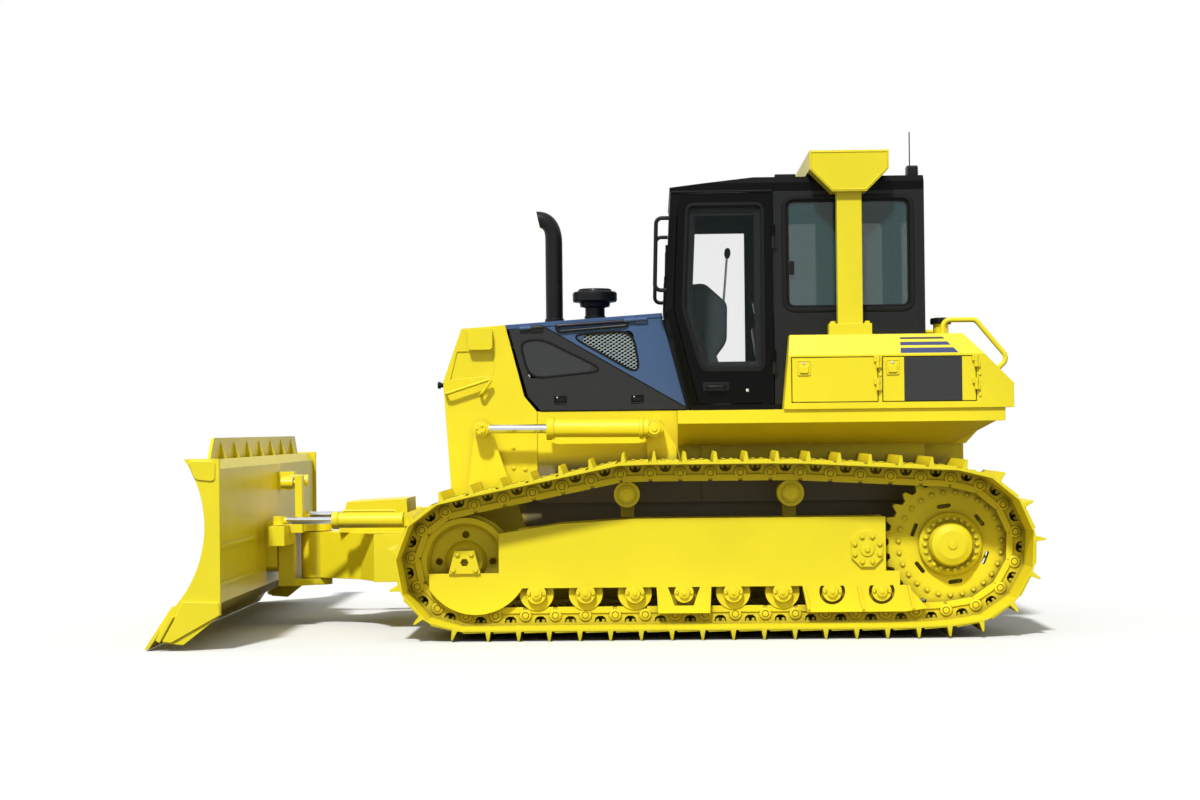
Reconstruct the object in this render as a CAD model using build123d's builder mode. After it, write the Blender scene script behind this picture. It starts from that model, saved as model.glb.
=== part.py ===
from build123d import *
import math
import os

os.makedirs("parts", exist_ok=True)

# A mid-size crawler dozer for soft ground, in millimetres. +X is forward, +Y is the
# machine's left and +Z is up. The origin lies on the ground under the middle of the
# whole machine. Stations along X are counted from the middle of the tracks' ground run.
mid_x = -684.0

# Clearances
fit = 0.3
gap = 6.0
side_gap = 12.0

# Tracks
track_length = 3190.0
gauge = 2140.0
shoe_width = 860.0
shoe_pitch = 197.0
shoe_plate = 14.0
grouser_height = 65.0
link_rise = 60.0
link_drop = 50.0
rail_inner = 42.0
rail_outer = 86.0
link_eye_low = 6.0
link_eye_high = 48.0
link_eye_foot = 0.20
link_eye_waist = 0.17
link_eye_head = 0.08
idler_pin_r = 356.0
sprocket_pin_r = 430.0
sprocket_rise = 15.0
carrier_front_x = 525.0
carrier_rear_x = -552.0
carrier_z = 930.0
carrier_r = 90.0
roller_count = 8
roller_front_x = 1125.0
roller_rear_x = -1135.0
roller_r = 94.0
flange_r = 112.0
roller_shaft_r = 40.0
roller_flange = 12.0
roller_ear = 24.0
roller_cap_r = 34.0
idler_shaft_r = 55.0
idler_hub_r = 110.0
idler_web = 48.0
idler_hole_r = 24.0
idler_hole_ring = 178.0
tooth_count = 27
hub_flange_r = 205.0
hub_step_r = 148.0
hub_dome_r = 90.0
hub_reach = 178.0
slot_ring = 250.0
slot_length = 92.0
slot_width = 26.0

# Track frames
skirt = 22.0
skirt_half = 120.0
beam_bottom = 322.0
beam_top = 772.0
beam_core_bottom = 400.0
beam_front_x = 1371.0
beam_rear_x = -1255.0
ledge_front_x = 1830.0
ledge_top = 422.0
toe_guard_rear_x = 1217.0
guard_bottom = 150.0
mid_guard_half = 180.0
rear_guard_front_x = -617.0
rear_guard_tail_x = -1435.0
rear_guard_notch_r = 84.0
guard_rib = 18.0
bearing_half = 105.0
bearing_rise = 78.0
bearing_raise = 18.0
pivot_x = -1042.0
pivot_z = 560.0
pivot_cover = (206.0, 230.0)
pivot_cover_cut = 60.0
equalizer_x = 120.0
equalizer_z = 520.0
cross_shaft_r = 62.0

# Hull
hull_half = 430.0
hull_bottom = 420.0
hull_top = 915.0
hull_front_x = 1640.0
hull_rear_x = -1790.0
bay_half = 530.0
bay_wall = 20.0
bay_ledge = 60.0
bay_rear_x = 20.0
deck_z = 1480.0
drive_r = 255.0
hitch_plate = (640.0, 330.0)
hitch_thick = 40.0
hitch_z = 740.0
bolt_y = 480.0
bolt_z = 200.0
bolt_r = 13.0
drawbar_x = -2105.0
drawbar_end = -2180.0
drawbar_z = 560.0
drawbar_plate = 60.0
drawbar_root = 190.0
drawbar_half = 95.0
drawbar_tip = 60.0
drawbar_hole_r = 27.0

# Nose and hood
nose_half = 540.0
nose_wall = 16.0
nose_rear_x = 1360.0
nose_top_z = 2086.0
nose_front_x = 1791.0
nose_brow_z = 1698.0
nose_brow_x = 1662.0
grille_half = 440.0
grille_bottom = 1060.0
grille_top = 1660.0
bar_count = 9
bar_width = 26.0
hood_rise = 0.0657
hood_plate = 30.0
hood_rear_x = 280.0
door_bottom_z = 1492.0
door_wall = 30.0
door_front_gap = 26.0
door_cut_corner = 40.0
latch_size = (86.0, 60.0)
latch_depth = 12.0
latch_z = 1567.0
latch_xs = (983.0, 453.0)
nose_pocket = 8.0
engine_half = 280.0
engine_rear_x = 380.0
engine_front_x = 1120.0
engine_top_z = 1900.0
core_back = 330.0
core_thick = 150.0
core_margin = 136.0
lamp_length = 170.0
lamp_height = 150.0
lamp_depth = 56.0
lamp_corner = 24.0
lamp_back = 132.0
lamp_drop = 96.0
lens_width = 46.0
lens_height = 120.0
lens_depth = 30.0
hinge_r = 13.0
hinge_off = 15.0
hinge_leaf = 26.0
hinge_length = 80.0
exhaust_x = 1047.0
exhaust_r = 59.0
exhaust_wall = 4.0
exhaust_top_z = 2700.0
exhaust_bend = 200.0
cleaner_x = 753.0
cleaner_r = 158.0
cleaner_neck_r = 68.0
cleaner_z = 2262.0
cleaner_height = 100.0

# Cab
cab_half = 800.0
cab_wall = 40.0
cab_rear_x = -1494.0
cab_foot_x = 92.0
cab_waist_x = 252.0
cab_brow_x = 214.0
cab_waist_z = 2170.0
cab_floor = 40.0
cab_eaves_z = 2955.0
roof_front = 34.0
roof_rear = 102.0
pillar_x = -478.0
pillar_width = 72.0
post_bevel = 45.0
sill_rise = 230.0
head_drop = 83.0
window_corner = 45.0
grab_foot_z = 2300.0
grab_head_z = 2790.0
grab_r = 14.0
grab_reach = 90.0
grab_corner = 40.0
aerial_x = -1436.0
aerial_y = 500.0
aerial_top_z = 3385.0
aerial_foot_r = 20.0
aerial_foot = 40.0
aerial_r = 4.0
frame_depth = 50.0
screen_edge = 40.0
screen_bottom = 1690.0
screen_top = 2890.0
screen_inset = 22.0
rear_window = (1200.0, 760.0)
rear_window_z = 2480.0
rear_window_corner = 60.0
side_window_height = 760.0
side_window_z = 2532.0
side_window_margin = 84.0
side_window_corner = 70.0
door_hinge_zs = (1800.0, 2650.0)
window_edge = 116.0
window_rear = 66.0
roof_break = 560.0
roof_bevel = 40.0
glass = 6.0
seat_x = -760.0
seat_half = 250.0
seat_rise = 300.0
seat_cushion = 110.0
seat_back = 650.0
seat_front = 270.0
seat_lean = 100.0
seat_base = 180.0
seat_hinge = 120.0
seat_pad = 110.0
seat_slope = 20.0
console_half = 360.0
console_rise = 640.0
arm_console_in = 300.0
arm_console_width = 260.0

# Roll bar
post_x = -976.0
post_width = 166.0
post_off = 38.0
post_depth = 105.0
bar_top_z = 3203.0
bar_bottom_z = 3078.0
bar_foot_z = 2928.0
bar_half = 263.0
bar_reach = 45.0

# Fenders, side boxes and tank
fender_tuck = 18.0
fender_in = 540.0
fender_front_x = 182.0
fender_rear_x = -1990.0
fender_edge = 88.0
fender_belly_z = 1245.0
fender_belly_y = 700.0
box_width = 206.0
box_front_x = -522.0
box_rear_x = -2046.0
box_top_z = 1976.0
box_crease_z = 1838.0
slope_x = 327.0
slope_z = 335.0
box_bevel = 52.0
box_wall = 12.0
box_seam_x = -1164.0
box_door_rear_x = -1800.0
tank_front_x = -1510.0
tank_rear_x = -2018.0
tank_bottom_z = 1240.0
tank_top_z = 1960.0
box_door_z = (1522.0, 1826.0)
box_hinge_zs = (1640.0, 1790.0)
rail_r = 17.0
rail_off = 88.0
rail_start = 450.0
rail_bend = 232.0
rail_height = 92.0
rail_stand = 104.0
rail_corner = 50.0
filler_r = 52.0
filler_rise = 90.0
filler_cap_r = 66.0
filler_cap = 44.0
box_in = cab_half + side_gap
box_out = box_in + box_width
box_bevel_y = box_out - box_bevel
fender_half = box_out - fender_tuck
post_in = box_in + post_off
post_out = post_in + post_depth
bar_out = post_out + bar_reach
rail_y = box_in + rail_off

# Lift frame
arm_in = 556.0
arm_out = 626.0
lift_x = 350.0
lift_z = 560.0
lift_pin_r = 45.0
tower_x = 1520.0
tower_z = 1372.0
lift_cyl_y = 702.0
lift_barrel_r = 68.0
lift_rod_r = 31.0
barrel_x = 338.0
barrel_z = 1362.0
lift_barrel_end = 1069.0
lift_rod_tail = 790.0
cross_x = 2060.0
cross_depth = 210.0
tongue_half = 340.0
frame_bottom = 330.0
frame_top = 655.0
crown_top = 890.0
crown_half = 280.0
swivel_x = 2760.0
swivel_r = 110.0
swivel_pin_r = 50.0
arm_root_r = 92.0
eye_half = 56.0
lift_eye_r = 58.0
barrel_pin_r = 30.0

# Blade carrier and its cylinders
yoke_plate = 46.0
yoke_front_x = 3000.0
yoke_half = 590.0
angle_z = 752.0
angle_y = 500.0
angle_x = 2940.0
angle_tail_x = 2030.0
angle_tail_y = 586.0
angle_barrel_r = 52.0
angle_rod_r = 24.0
angle_barrel_end = 2560.0
angle_rod_tail = 2330.0
tilt_z = 560.0
tilt_boss_r = 92.0
tilt_cyl_z = 1010.0
tilt_cyl_x = 2910.0
tilt_post_y = 330.0
tilt_eye_y = -330.0
tilt_barrel_r = 50.0
tilt_rod_r = 24.0
angle_eye_half = 30.0
angle_eye_r = 42.0
angle_pin_r = 22.0
tilt_eye_r = 42.0
tilt_pin_r = 20.0

# Blade
blade_half = 1930.0
blade_back_x = 3085.0
blade_top_z = 1196.0
blade_lip = 186.0
blade_deep = 65.0
blade_deep_z = 705.0
blade_heel = 267.0
blade_heel_z = 262.0
edge_reach = 196.0
edge_tip_z = 10.0
end_plate = 26.0
guard_half = 1550.0
guard_top_z = 1332.0
guard_plate = 20.0
gusset = 16.0
gusset_count = 7
gusset_step = 450.0
blade_rib = 22.0
blade_rib_in = 700.0
blade_rib_zs = (413.0, 650.0)
blade_lip_x = blade_back_x + blade_lip
blade_deep_x = blade_back_x + blade_deep
blade_heel_x = blade_back_x + blade_heel
edge_tip_x = blade_heel_x + edge_reach


def side(y):
    return Plane((mid_x, y, 0), x_dir=(1, 0, 0), z_dir=(0, -1, 0))


def level(z):
    return Plane((mid_x, 0, z))


def across(x):
    return Plane((mid_x + x, 0, 0), x_dir=(0, 1, 0), z_dir=(1, 0, 0))


def hood_z(x):
    return nose_top_z + (nose_rear_x - x) * hood_rise


# Chain line: an outer belt round the idler, both carrier rollers, the sprocket and the
# last track roller, taken at the pins. The walk is counter-clockwise seen with +X right.
pin_z = grouser_height + shoe_plate + link_rise
rail_z = pin_z + link_drop
idler_x = track_length / 2
sprocket_x = -track_length / 2
idler_z = pin_z + idler_pin_r
sprocket_z = pin_z + sprocket_pin_r + sprocket_rise
roller_z = rail_z + roller_r + fit
roller_step = (roller_front_x - roller_rear_x) / (roller_count - 1)
carrier_pin_r = carrier_r + link_drop + fit
wheels = [
    (idler_x, idler_z, idler_pin_r),
    (carrier_front_x, carrier_z, carrier_pin_r),
    (carrier_rear_x, carrier_z, carrier_pin_r),
    (sprocket_x, sprocket_z, sprocket_pin_r),
    (roller_rear_x - shoe_pitch / 2, pin_z, 0.0),
]


def chain_pins():
    leans = []
    runs = []
    for i, (ax, az, ar) in enumerate(wheels):
        bx, bz, br = wheels[(i + 1) % len(wheels)]
        span = math.hypot(bx - ax, bz - az)
        lean = math.atan2(bz - az, bx - ax) - math.acos((ar - br) / span)
        leans.append(lean)
        start = (ax + ar * math.cos(lean), az + ar * math.sin(lean))
        end = (bx + br * math.cos(lean), bz + br * math.sin(lean))
        runs.append((start, end))
    pieces = []
    for i, (cx, cz, r) in enumerate(wheels):
        sweep_by = (leans[i] - leans[i - 1]) % (2 * math.pi)
        if r > 0:
            pieces.append((r * sweep_by, (cx, cz, r, leans[i - 1], sweep_by), None))
        (sx, sz), (ex, ez) = runs[i]
        pieces.append((math.hypot(ex - sx, ez - sz), None, runs[i]))
    total = sum(length for length, arc, run in pieces)
    count = round(total / shoe_pitch)
    pins = []
    for k in range(count):
        rest = total * k / count
        for length, arc, run in pieces:
            if rest <= length:
                break
            rest -= length
        if arc:
            cx, cz, r, start, sweep_by = arc
            a = start + sweep_by * rest / length
            pins.append((cx + r * math.cos(a), cz + r * math.sin(a)))
        else:
            (sx, sz), (ex, ez) = run
            t = rest / length
            pins.append((sx + (ex - sx) * t, sz + (ez - sz) * t))
    return pins


pins = chain_pins()
count = len(pins)
links = []
for i in range(count):
    ax, az = pins[i]
    bx, bz = pins[(i + 1) % count]
    size = math.hypot(bx - ax, bz - az)
    links.append((ax, az, (bx - ax) / size, (bz - az) / size, size))


def on_link(i, along, out):
    ax, az, ux, uz, size = links[i]
    s = along * size
    return (ax + ux * s + uz * out, az + uz * s - ux * out)


def offset_pins(out):
    points = []
    for i in range(count):
        ax, az, ux, uz, size = links[i]
        px, pz, vx, vz, last = links[i - 1]
        nx, nz = uz + vz, -ux - vx
        norm = math.hypot(nx, nz)
        nx, nz = nx / norm, nz / norm
        reach = out / (nx * uz - nz * ux)
        points.append((ax + nx * reach, az + nz * reach))
    return points


def seat_r(cx, cz):
    nearest = []
    for i in range(count):
        ax, az = rail_line[i - 1]
        bx, bz = rail_line[i]
        span = (bx - ax) ** 2 + (bz - az) ** 2
        t = ((cx - ax) * (bx - ax) + (cz - az) * (bz - az)) / span
        t = min(max(t, 0.0), 1.0)
        nearest.append(math.hypot(ax + (bx - ax) * t - cx, az + (bz - az) * t - cz))
    return min(nearest) - fit


link_line = offset_pins(link_rise)
rail_line = offset_pins(-link_drop)
shoe_back = link_rise + shoe_plate
shoe_tip = shoe_back + grouser_height
shoe_line = []
for i in range(count):
    shoe_line.append(on_link(i, 0.04, shoe_back))
    shoe_line.append(on_link(i, 0.10, shoe_tip))
    shoe_line.append(on_link(i, 0.16, shoe_tip))
    shoe_line.append(on_link(i, 0.22, shoe_back))
    shoe_line.append(on_link(i, 0.97, shoe_back))
track_out = gauge / 2 + shoe_width / 2
link_eye_mid = (2 * link_eye_low + link_eye_high) / 3
link_eyes = []
for i in range(count):
    eye = [
        on_link(i, 0.5 - link_eye_foot, link_eye_high),
        on_link(i, 0.5 + link_eye_foot, link_eye_high),
        on_link(i, 0.5 + link_eye_waist, link_eye_mid),
        on_link(i, 0.5 + link_eye_head, link_eye_low),
        on_link(i, 0.5 - link_eye_head, link_eye_low),
        on_link(i, 0.5 - link_eye_waist, link_eye_mid),
    ]
    link_eyes.append(eye)

# Left track: shoes with grousers all round, and two link rails inside them. Each link of
# the outer rail has an eye over its shoe
with BuildPart() as track_left:
    with BuildSketch(side(track_out)):
        Polygon(*shoe_line, align=None)
        Polygon(*link_line, align=None, mode=Mode.SUBTRACT)
    extrude(amount=shoe_width)
    for rail_face in (gauge / 2 + rail_outer, gauge / 2 - rail_inner):
        with BuildSketch(side(rail_face)):
            Polygon(*link_line, align=None)
            Polygon(*rail_line, align=None, mode=Mode.SUBTRACT)
        extrude(amount=rail_outer - rail_inner)
    with BuildSketch(side(gauge / 2 + rail_outer)):
        for eye in link_eyes:
            Polygon(*eye, align=None)
    extrude(amount=rail_outer - rail_inner, mode=Mode.SUBTRACT)
track_left.part.label = "track_left"
export_step(track_left.part, "parts/track_left.step")

with BuildPart() as track_right:
    mirror(track_left.part, about=Plane.XZ)
track_right.part.label = "track_right"
export_step(track_right.part, "parts/track_right.step")

# Track rollers and carrier rollers
roller_tread = rail_outer + 4
roller_points = [(roller_front_x - roller_step * i, roller_z) for i in range(roller_count)]
with BuildPart() as track_rollers:
    with BuildSketch(side(gauge / 2 + roller_tread)):
        for x, z in roller_points:
            with Locations((x, z)):
                Circle(min(roller_r, seat_r(x, z)))
    extrude(amount=2 * roller_tread)
    for flange_face in (gauge / 2 + roller_tread + roller_flange, gauge / 2 - roller_tread):
        with BuildSketch(side(flange_face)):
            with Locations(*roller_points):
                Circle(flange_r)
        extrude(amount=roller_flange)
    with BuildSketch(side(gauge / 2 + skirt_half)):
        with Locations(*roller_points):
            Circle(roller_shaft_r)
    extrude(amount=2 * skirt_half)
    mirror(about=Plane.XZ)
track_rollers.part.label = "track_rollers"
export_step(track_rollers.part, "parts/track_rollers.step")

carrier_points = [(carrier_front_x, carrier_z), (carrier_rear_x, carrier_z)]
with BuildPart() as carrier_rollers:
    with BuildSketch(side(gauge / 2 + roller_tread)):
        for x, z in carrier_points:
            with Locations((x, z)):
                Circle(seat_r(x, z))
    extrude(amount=2 * roller_tread)
    with BuildSketch(side(gauge / 2 + roller_tread + 30)):
        with Locations(*carrier_points):
            Circle(carrier_r * 0.62)
    extrude(amount=30)
    with BuildSketch(side(gauge / 2 - roller_tread)):
        with Locations(*carrier_points):
            Circle(carrier_r * 0.55)
    extrude(amount=40)
    for cx, cz in carrier_points:
        with BuildSketch(side(gauge / 2 - roller_tread - 8)):
            with Locations((cx, (cz + beam_top) / 2)):
                Rectangle(90, cz - beam_top)
        extrude(amount=32)
    mirror(about=Plane.XZ)
carrier_rollers.part.label = "carrier_rollers"
export_step(carrier_rollers.part, "parts/carrier_rollers.step")

# Idlers: rim with a middle flange, dished web and hub
idler_r = seat_r(idler_x, idler_z)
with BuildPart() as idlers:
    with BuildSketch(Plane((mid_x + idler_x, gauge / 2, idler_z), x_dir=(0, 1, 0), z_dir=(1, 0, 0))):
        with BuildLine():
            Polyline(
                (-skirt_half, 0),
                (-skirt_half, idler_shaft_r),
                (-70, idler_shaft_r),
                (-70, idler_hub_r),
                (-idler_web / 2, idler_hub_r + 30),
                (-idler_web / 2, idler_r - 60),
                (-rail_outer, idler_r - 36),
                (-rail_outer, idler_r),
                (-rail_inner + 4, idler_r),
                (-rail_inner + 8, idler_r + 22),
                (rail_inner - 8, idler_r + 22),
                (rail_inner - 4, idler_r),
                (rail_outer, idler_r),
                (rail_outer, idler_r - 36),
                (idler_web / 2, idler_r - 60),
                (idler_web / 2, idler_hub_r + 30),
                (70, idler_hub_r),
                (70, idler_shaft_r),
                (skirt_half, idler_shaft_r),
                (skirt_half, 0),
                close=True,
            )
        make_face()
    revolve(axis=Axis((mid_x + idler_x, gauge / 2, idler_z), (0, 1, 0)))
    with BuildSketch(side(gauge / 2 + idler_web / 2)):
        with Locations((idler_x, idler_z)):
            with PolarLocations(idler_hole_ring, 4, start_angle=90):
                Circle(idler_hole_r)
    extrude(amount=idler_web, mode=Mode.SUBTRACT)
    mirror(about=Plane.XZ)
idlers.part.label = "idlers"
export_step(idlers.part, "parts/idlers.step")

# Sprockets: toothed ring, slotted disc and domed hub
tooth_tip_r = sprocket_pin_r + 14
tooth_root_r = sprocket_pin_r - 30
tooth_line = []
for i in range(tooth_count):
    for turn, r in ((0.0, tooth_root_r), (0.3, tooth_root_r), (0.55, tooth_tip_r), (0.75, tooth_tip_r)):
        a = 2 * math.pi * (i + turn) / tooth_count
        tooth_line.append((sprocket_x + r * math.cos(a), sprocket_z + r * math.sin(a)))
sprocket_half = rail_inner - 6
hub_face = sprocket_half + 52
with BuildPart() as sprockets:
    with BuildSketch(side(gauge / 2 + sprocket_half)):
        Polygon(*tooth_line, align=None)
        with Locations((sprocket_x, sprocket_z)):
            with PolarLocations(slot_ring, 6, start_angle=22):
                SlotOverall(slot_length, slot_width, rotation=90, mode=Mode.SUBTRACT)
    extrude(amount=2 * sprocket_half)
    with BuildSketch(Plane((mid_x + sprocket_x, gauge / 2, sprocket_z), x_dir=(0, 1, 0), z_dir=(1, 0, 0))):
        with BuildLine():
            Polyline(
                (0, 0),
                (0, hub_flange_r),
                (hub_face - 12, hub_flange_r),
                (hub_face, hub_flange_r - 15),
                (hub_face, hub_step_r),
                (hub_reach - 22, hub_step_r - 16),
                (hub_reach - 4, hub_dome_r),
                (hub_reach, 0),
                close=True,
            )
        make_face()
    revolve(axis=Axis((mid_x + sprocket_x, gauge / 2, sprocket_z), (0, 1, 0)))
    mirror(about=Plane.XZ)
sprockets.part.label = "sprockets"
export_step(sprockets.part, "parts/sprockets.step")

# Final drive cases between the hull and the sprockets
with BuildPart() as final_drives:
    with BuildSketch(side(gauge / 2 - sprocket_half)):
        with Locations((sprocket_x, sprocket_z)):
            Circle(drive_r)
    extrude(amount=gauge / 2 - sprocket_half - hull_half)
    mirror(about=Plane.XZ)
final_drives.part.label = "final_drives"
export_step(final_drives.part, "parts/final_drives.step")

# Track frames: a box beam between side plates, which carry the rollers in ears and the
# idler in a bearing block, with guards beside the chain and a cover over the pivot
skirt_out = gauge / 2 + skirt_half + skirt
mid_guard_x = roller_points[3][0]
toe_mid_x = (toe_guard_rear_x + ledge_front_x) / 2
guarded_rollers = roller_points[-2:]
bearing_line = [
    (idler_x - bearing_half, ledge_top),
    (idler_x + bearing_half, ledge_top),
    (idler_x + bearing_half - 40, idler_z + bearing_rise),
    (idler_x - bearing_half + 40, idler_z + bearing_rise),
]
guard_mid_x = (guarded_rollers[0][0] + guarded_rollers[1][0]) / 2
rear_guard_ribs = [rear_guard_front_x, guard_mid_x, beam_rear_x - 45]
with BuildSketch() as pivot_octagon:
    Rectangle(*pivot_cover)
    chamfer(pivot_octagon.vertices(), pivot_cover_cut)
with BuildPart() as track_frames:
    for plate_face in (skirt_out, gauge / 2 - skirt_half):
        with BuildSketch(side(plate_face)):
            with BuildLine():
                Polyline(
                    (beam_rear_x, beam_bottom),
                    (ledge_front_x, beam_bottom),
                    (ledge_front_x, ledge_top),
                    (beam_front_x, ledge_top),
                    (beam_front_x, beam_top - 90),
                    (beam_front_x - 400, beam_top - 30),
                    (beam_front_x - 900, beam_top),
                    (beam_rear_x + 90, beam_top),
                    (beam_rear_x + 90, beam_bottom + 80),
                    close=True,
                )
            make_face()
            Polygon(*bearing_line, align=None)
            with BuildLine():
                toe_edge = Line((ledge_front_x, beam_bottom), (toe_guard_rear_x, beam_bottom))
                ThreePointArc(toe_edge @ 0, (toe_mid_x, guard_bottom), toe_edge @ 1)
            make_face()
            with BuildLine():
                Polyline(
                    (mid_guard_x + mid_guard_half, beam_bottom),
                    (mid_guard_x + mid_guard_half - 10, guard_bottom),
                    (mid_guard_x - mid_guard_half + 10, guard_bottom),
                    (mid_guard_x - mid_guard_half, beam_bottom),
                    (mid_guard_x - mid_guard_half + 75, beam_bottom),
                    (mid_guard_x - mid_guard_half + 118, guard_bottom + 50),
                    (mid_guard_x + mid_guard_half - 118, guard_bottom + 50),
                    (mid_guard_x + mid_guard_half - 75, beam_bottom),
                    close=True,
                )
            make_face()
            with BuildLine():
                Polyline(
                    (rear_guard_front_x, beam_bottom),
                    (rear_guard_front_x - 33, guard_bottom),
                    (rear_guard_tail_x + 145, guard_bottom),
                    (rear_guard_tail_x, guard_bottom + 20),
                    (beam_rear_x - 45, beam_bottom),
                    close=True,
                )
            make_face()
            with Locations(*guarded_rollers):
                Circle(rear_guard_notch_r, mode=Mode.SUBTRACT)
            with Locations(((beam_rear_x + rear_guard_front_x) / 2, beam_bottom + roller_r / 2)):
                Rectangle(rear_guard_front_x - beam_rear_x, roller_r)
            with Locations(*roller_points):
                Circle(roller_shaft_r + roller_ear)
        extrude(amount=skirt)
    with BuildSketch(side(gauge / 2 + skirt_half)):
        with BuildLine():
            Polyline(
                (sprocket_x + tooth_tip_r + 40, beam_core_bottom),
                (idler_x - idler_r - 60, beam_core_bottom),
                (idler_x - idler_r - 60, beam_top - 60),
                (beam_front_x - 900, beam_top),
                (sprocket_x + tooth_tip_r + 40, beam_top),
                close=True,
            )
        make_face()
    extrude(amount=2 * skirt_half)
    with BuildSketch(side(skirt_out + bearing_raise)):
        Polygon(*bearing_line, align=None)
        with Locations((pivot_x, pivot_z)):
            add(pivot_octagon.sketch)
        with Locations(*roller_points):
            Circle(roller_cap_r)
        for x in rear_guard_ribs:
            with BuildLine():
                Polyline(
                    (x, beam_bottom),
                    (x - 33, guard_bottom + 20),
                    (x - 33 - guard_rib, guard_bottom + 20),
                    (x - guard_rib, beam_bottom),
                    close=True,
                )
            make_face()
    extrude(amount=bearing_raise)
    with BuildSketch(side(skirt_out + bearing_raise)):
        with Locations((idler_x, idler_z)):
            RegularPolygon(idler_shaft_r / 2, 6)
    extrude(amount=bearing_raise + skirt, mode=Mode.SUBTRACT)
    mirror(about=Plane.XZ)
track_frames.part.label = "track_frames"
export_step(track_frames.part, "parts/track_frames.step")

# Pivot shafts and equalizer stubs that carry the track frames on the hull
shaft_points = [(pivot_x, pivot_z), (equalizer_x, equalizer_z)]
with BuildPart() as cross_shafts:
    with BuildSketch(side(gauge / 2 - skirt_half - skirt)):
        with Locations(*shaft_points):
            Circle(cross_shaft_r)
    extrude(amount=gauge / 2 - skirt_half - skirt - hull_half)
    mirror(about=Plane.XZ)
cross_shafts.part.label = "cross_shafts"
export_step(cross_shafts.part, "parts/cross_shafts.step")

# Hull: a deep box between the tracks, side pins for the lift arms, engine bay walls
# above it and the brackets that carry the lift cylinders
with BuildPart() as main_frame:
    with BuildSketch(side(hull_half)):
        with BuildLine():
            Polyline(
                (hull_rear_x, hull_bottom + 60),
                (hull_rear_x + 120, hull_bottom),
                (hull_front_x - 160, hull_bottom),
                (hull_front_x, hull_bottom + 140),
                (hull_front_x, hull_top),
                (hull_rear_x, hull_top),
                close=True,
            )
        make_face()
    extrude(amount=2 * hull_half)
    with BuildSketch(side(arm_out + 4)):
        with Locations((lift_x, lift_z)):
            Circle(lift_pin_r)
    extrude(amount=arm_out + 4 - hull_half)
    with BuildSketch(side(arm_in - 6)):
        with Locations((lift_x, lift_z)):
            Circle(lift_pin_r + 50)
    extrude(amount=arm_in - 6 - hull_half)
    with BuildSketch(side(bay_half)):
        with BuildLine():
            Polyline(
                (bay_rear_x, hull_top - bay_ledge),
                (nose_rear_x - 215, hull_top - bay_ledge),
                (nose_rear_x - 215, door_bottom_z - gap),
                (cab_foot_x + gap, door_bottom_z - gap),
                (cab_foot_x + gap, deck_z),
                (bay_rear_x, deck_z),
                close=True,
            )
        make_face()
    extrude(amount=bay_wall)
    with BuildSketch(side(bay_half)):
        with BuildLine():
            Polyline(
                (bay_rear_x, hull_top - bay_ledge),
                (nose_rear_x - 215, hull_top - bay_ledge),
                (nose_rear_x - 215, hull_top),
                (bay_rear_x, hull_top),
                close=True,
            )
        make_face()
    extrude(amount=bay_half - hull_half)
    with BuildSketch(side(fender_in)):
        with BuildLine():
            Polyline(
                (tank_front_x, hull_top - bay_ledge),
                (bay_rear_x, hull_top - bay_ledge),
                (bay_rear_x, deck_z),
                (tank_front_x, deck_z),
                close=True,
            )
        make_face()
    extrude(amount=2 * fender_in)
    with BuildSketch(side(hull_half)):
        with BuildLine():
            Polyline(
                (hull_rear_x, hull_top),
                (tank_front_x, hull_top),
                (tank_front_x, tank_bottom_z),
                (hull_rear_x, tank_bottom_z),
                close=True,
            )
        make_face()
    extrude(amount=2 * hull_half)
    with BuildSketch(side(arm_out - 6)):
        with BuildLine():
            Polyline(
                (barrel_x - 150, hull_top + 100),
                (barrel_x + 40, hull_top + 100),
                (barrel_x + 62, barrel_z),
                (barrel_x + 30, barrel_z + 60),
                (barrel_x - 40, barrel_z + 60),
                (barrel_x - 150, barrel_z - 130),
                close=True,
            )
        make_face()
    extrude(amount=arm_out - 6 - bay_half)
    with BuildSketch(side(lift_cyl_y + lift_barrel_r)):
        with Locations((barrel_x, barrel_z)):
            Circle(barrel_pin_r)
    extrude(amount=lift_cyl_y + lift_barrel_r - arm_out + 20)
    mirror(about=Plane.XZ)
main_frame.part.label = "main_frame"
export_step(main_frame.part, "parts/main_frame.step")

# Rear plate with its bolt holes, and the drawbar fork with its pin hole
hitch_x = hull_rear_x - hitch_thick
with BuildPart() as rear_hitch:
    with BuildSketch(across(hitch_x)):
        with Locations((0, hitch_z)):
            Rectangle(*hitch_plate)
            with GridLocations(bolt_y, bolt_z, 2, 2):
                Circle(bolt_r, mode=Mode.SUBTRACT)
    extrude(amount=hitch_thick)
    with BuildSketch(level(drawbar_z)):
        with BuildLine():
            Polyline(
                (hull_rear_x, -drawbar_root),
                (drawbar_x, -drawbar_half),
                (drawbar_end, -drawbar_tip),
                (drawbar_end, drawbar_tip),
                (drawbar_x, drawbar_half),
                (hull_rear_x, drawbar_root),
                close=True,
            )
        make_face()
        with Locations((drawbar_x, 0)):
            Circle(drawbar_hole_r, mode=Mode.SUBTRACT)
    extrude(amount=drawbar_plate)
rear_hitch.part.label = "rear_hitch"
export_step(rear_hitch.part, "parts/rear_hitch.step")

# Engine as one plain block on the hull
with BuildPart() as engine_block:
    with BuildSketch(side(engine_half)):
        with BuildLine():
            Polyline(
                (engine_rear_x, hull_top),
                (engine_front_x - 40, hull_top),
                (engine_front_x, hull_top + 140),
                (engine_front_x, engine_top_z - 200),
                (engine_front_x - 80, engine_top_z - 20),
                (engine_rear_x + 120, engine_top_z),
                (engine_rear_x, engine_top_z - 120),
                close=True,
            )
        make_face()
    extrude(amount=2 * engine_half)
engine_block.part.label = "engine_block"
export_step(engine_block.part, "parts/engine_block.step")

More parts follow.
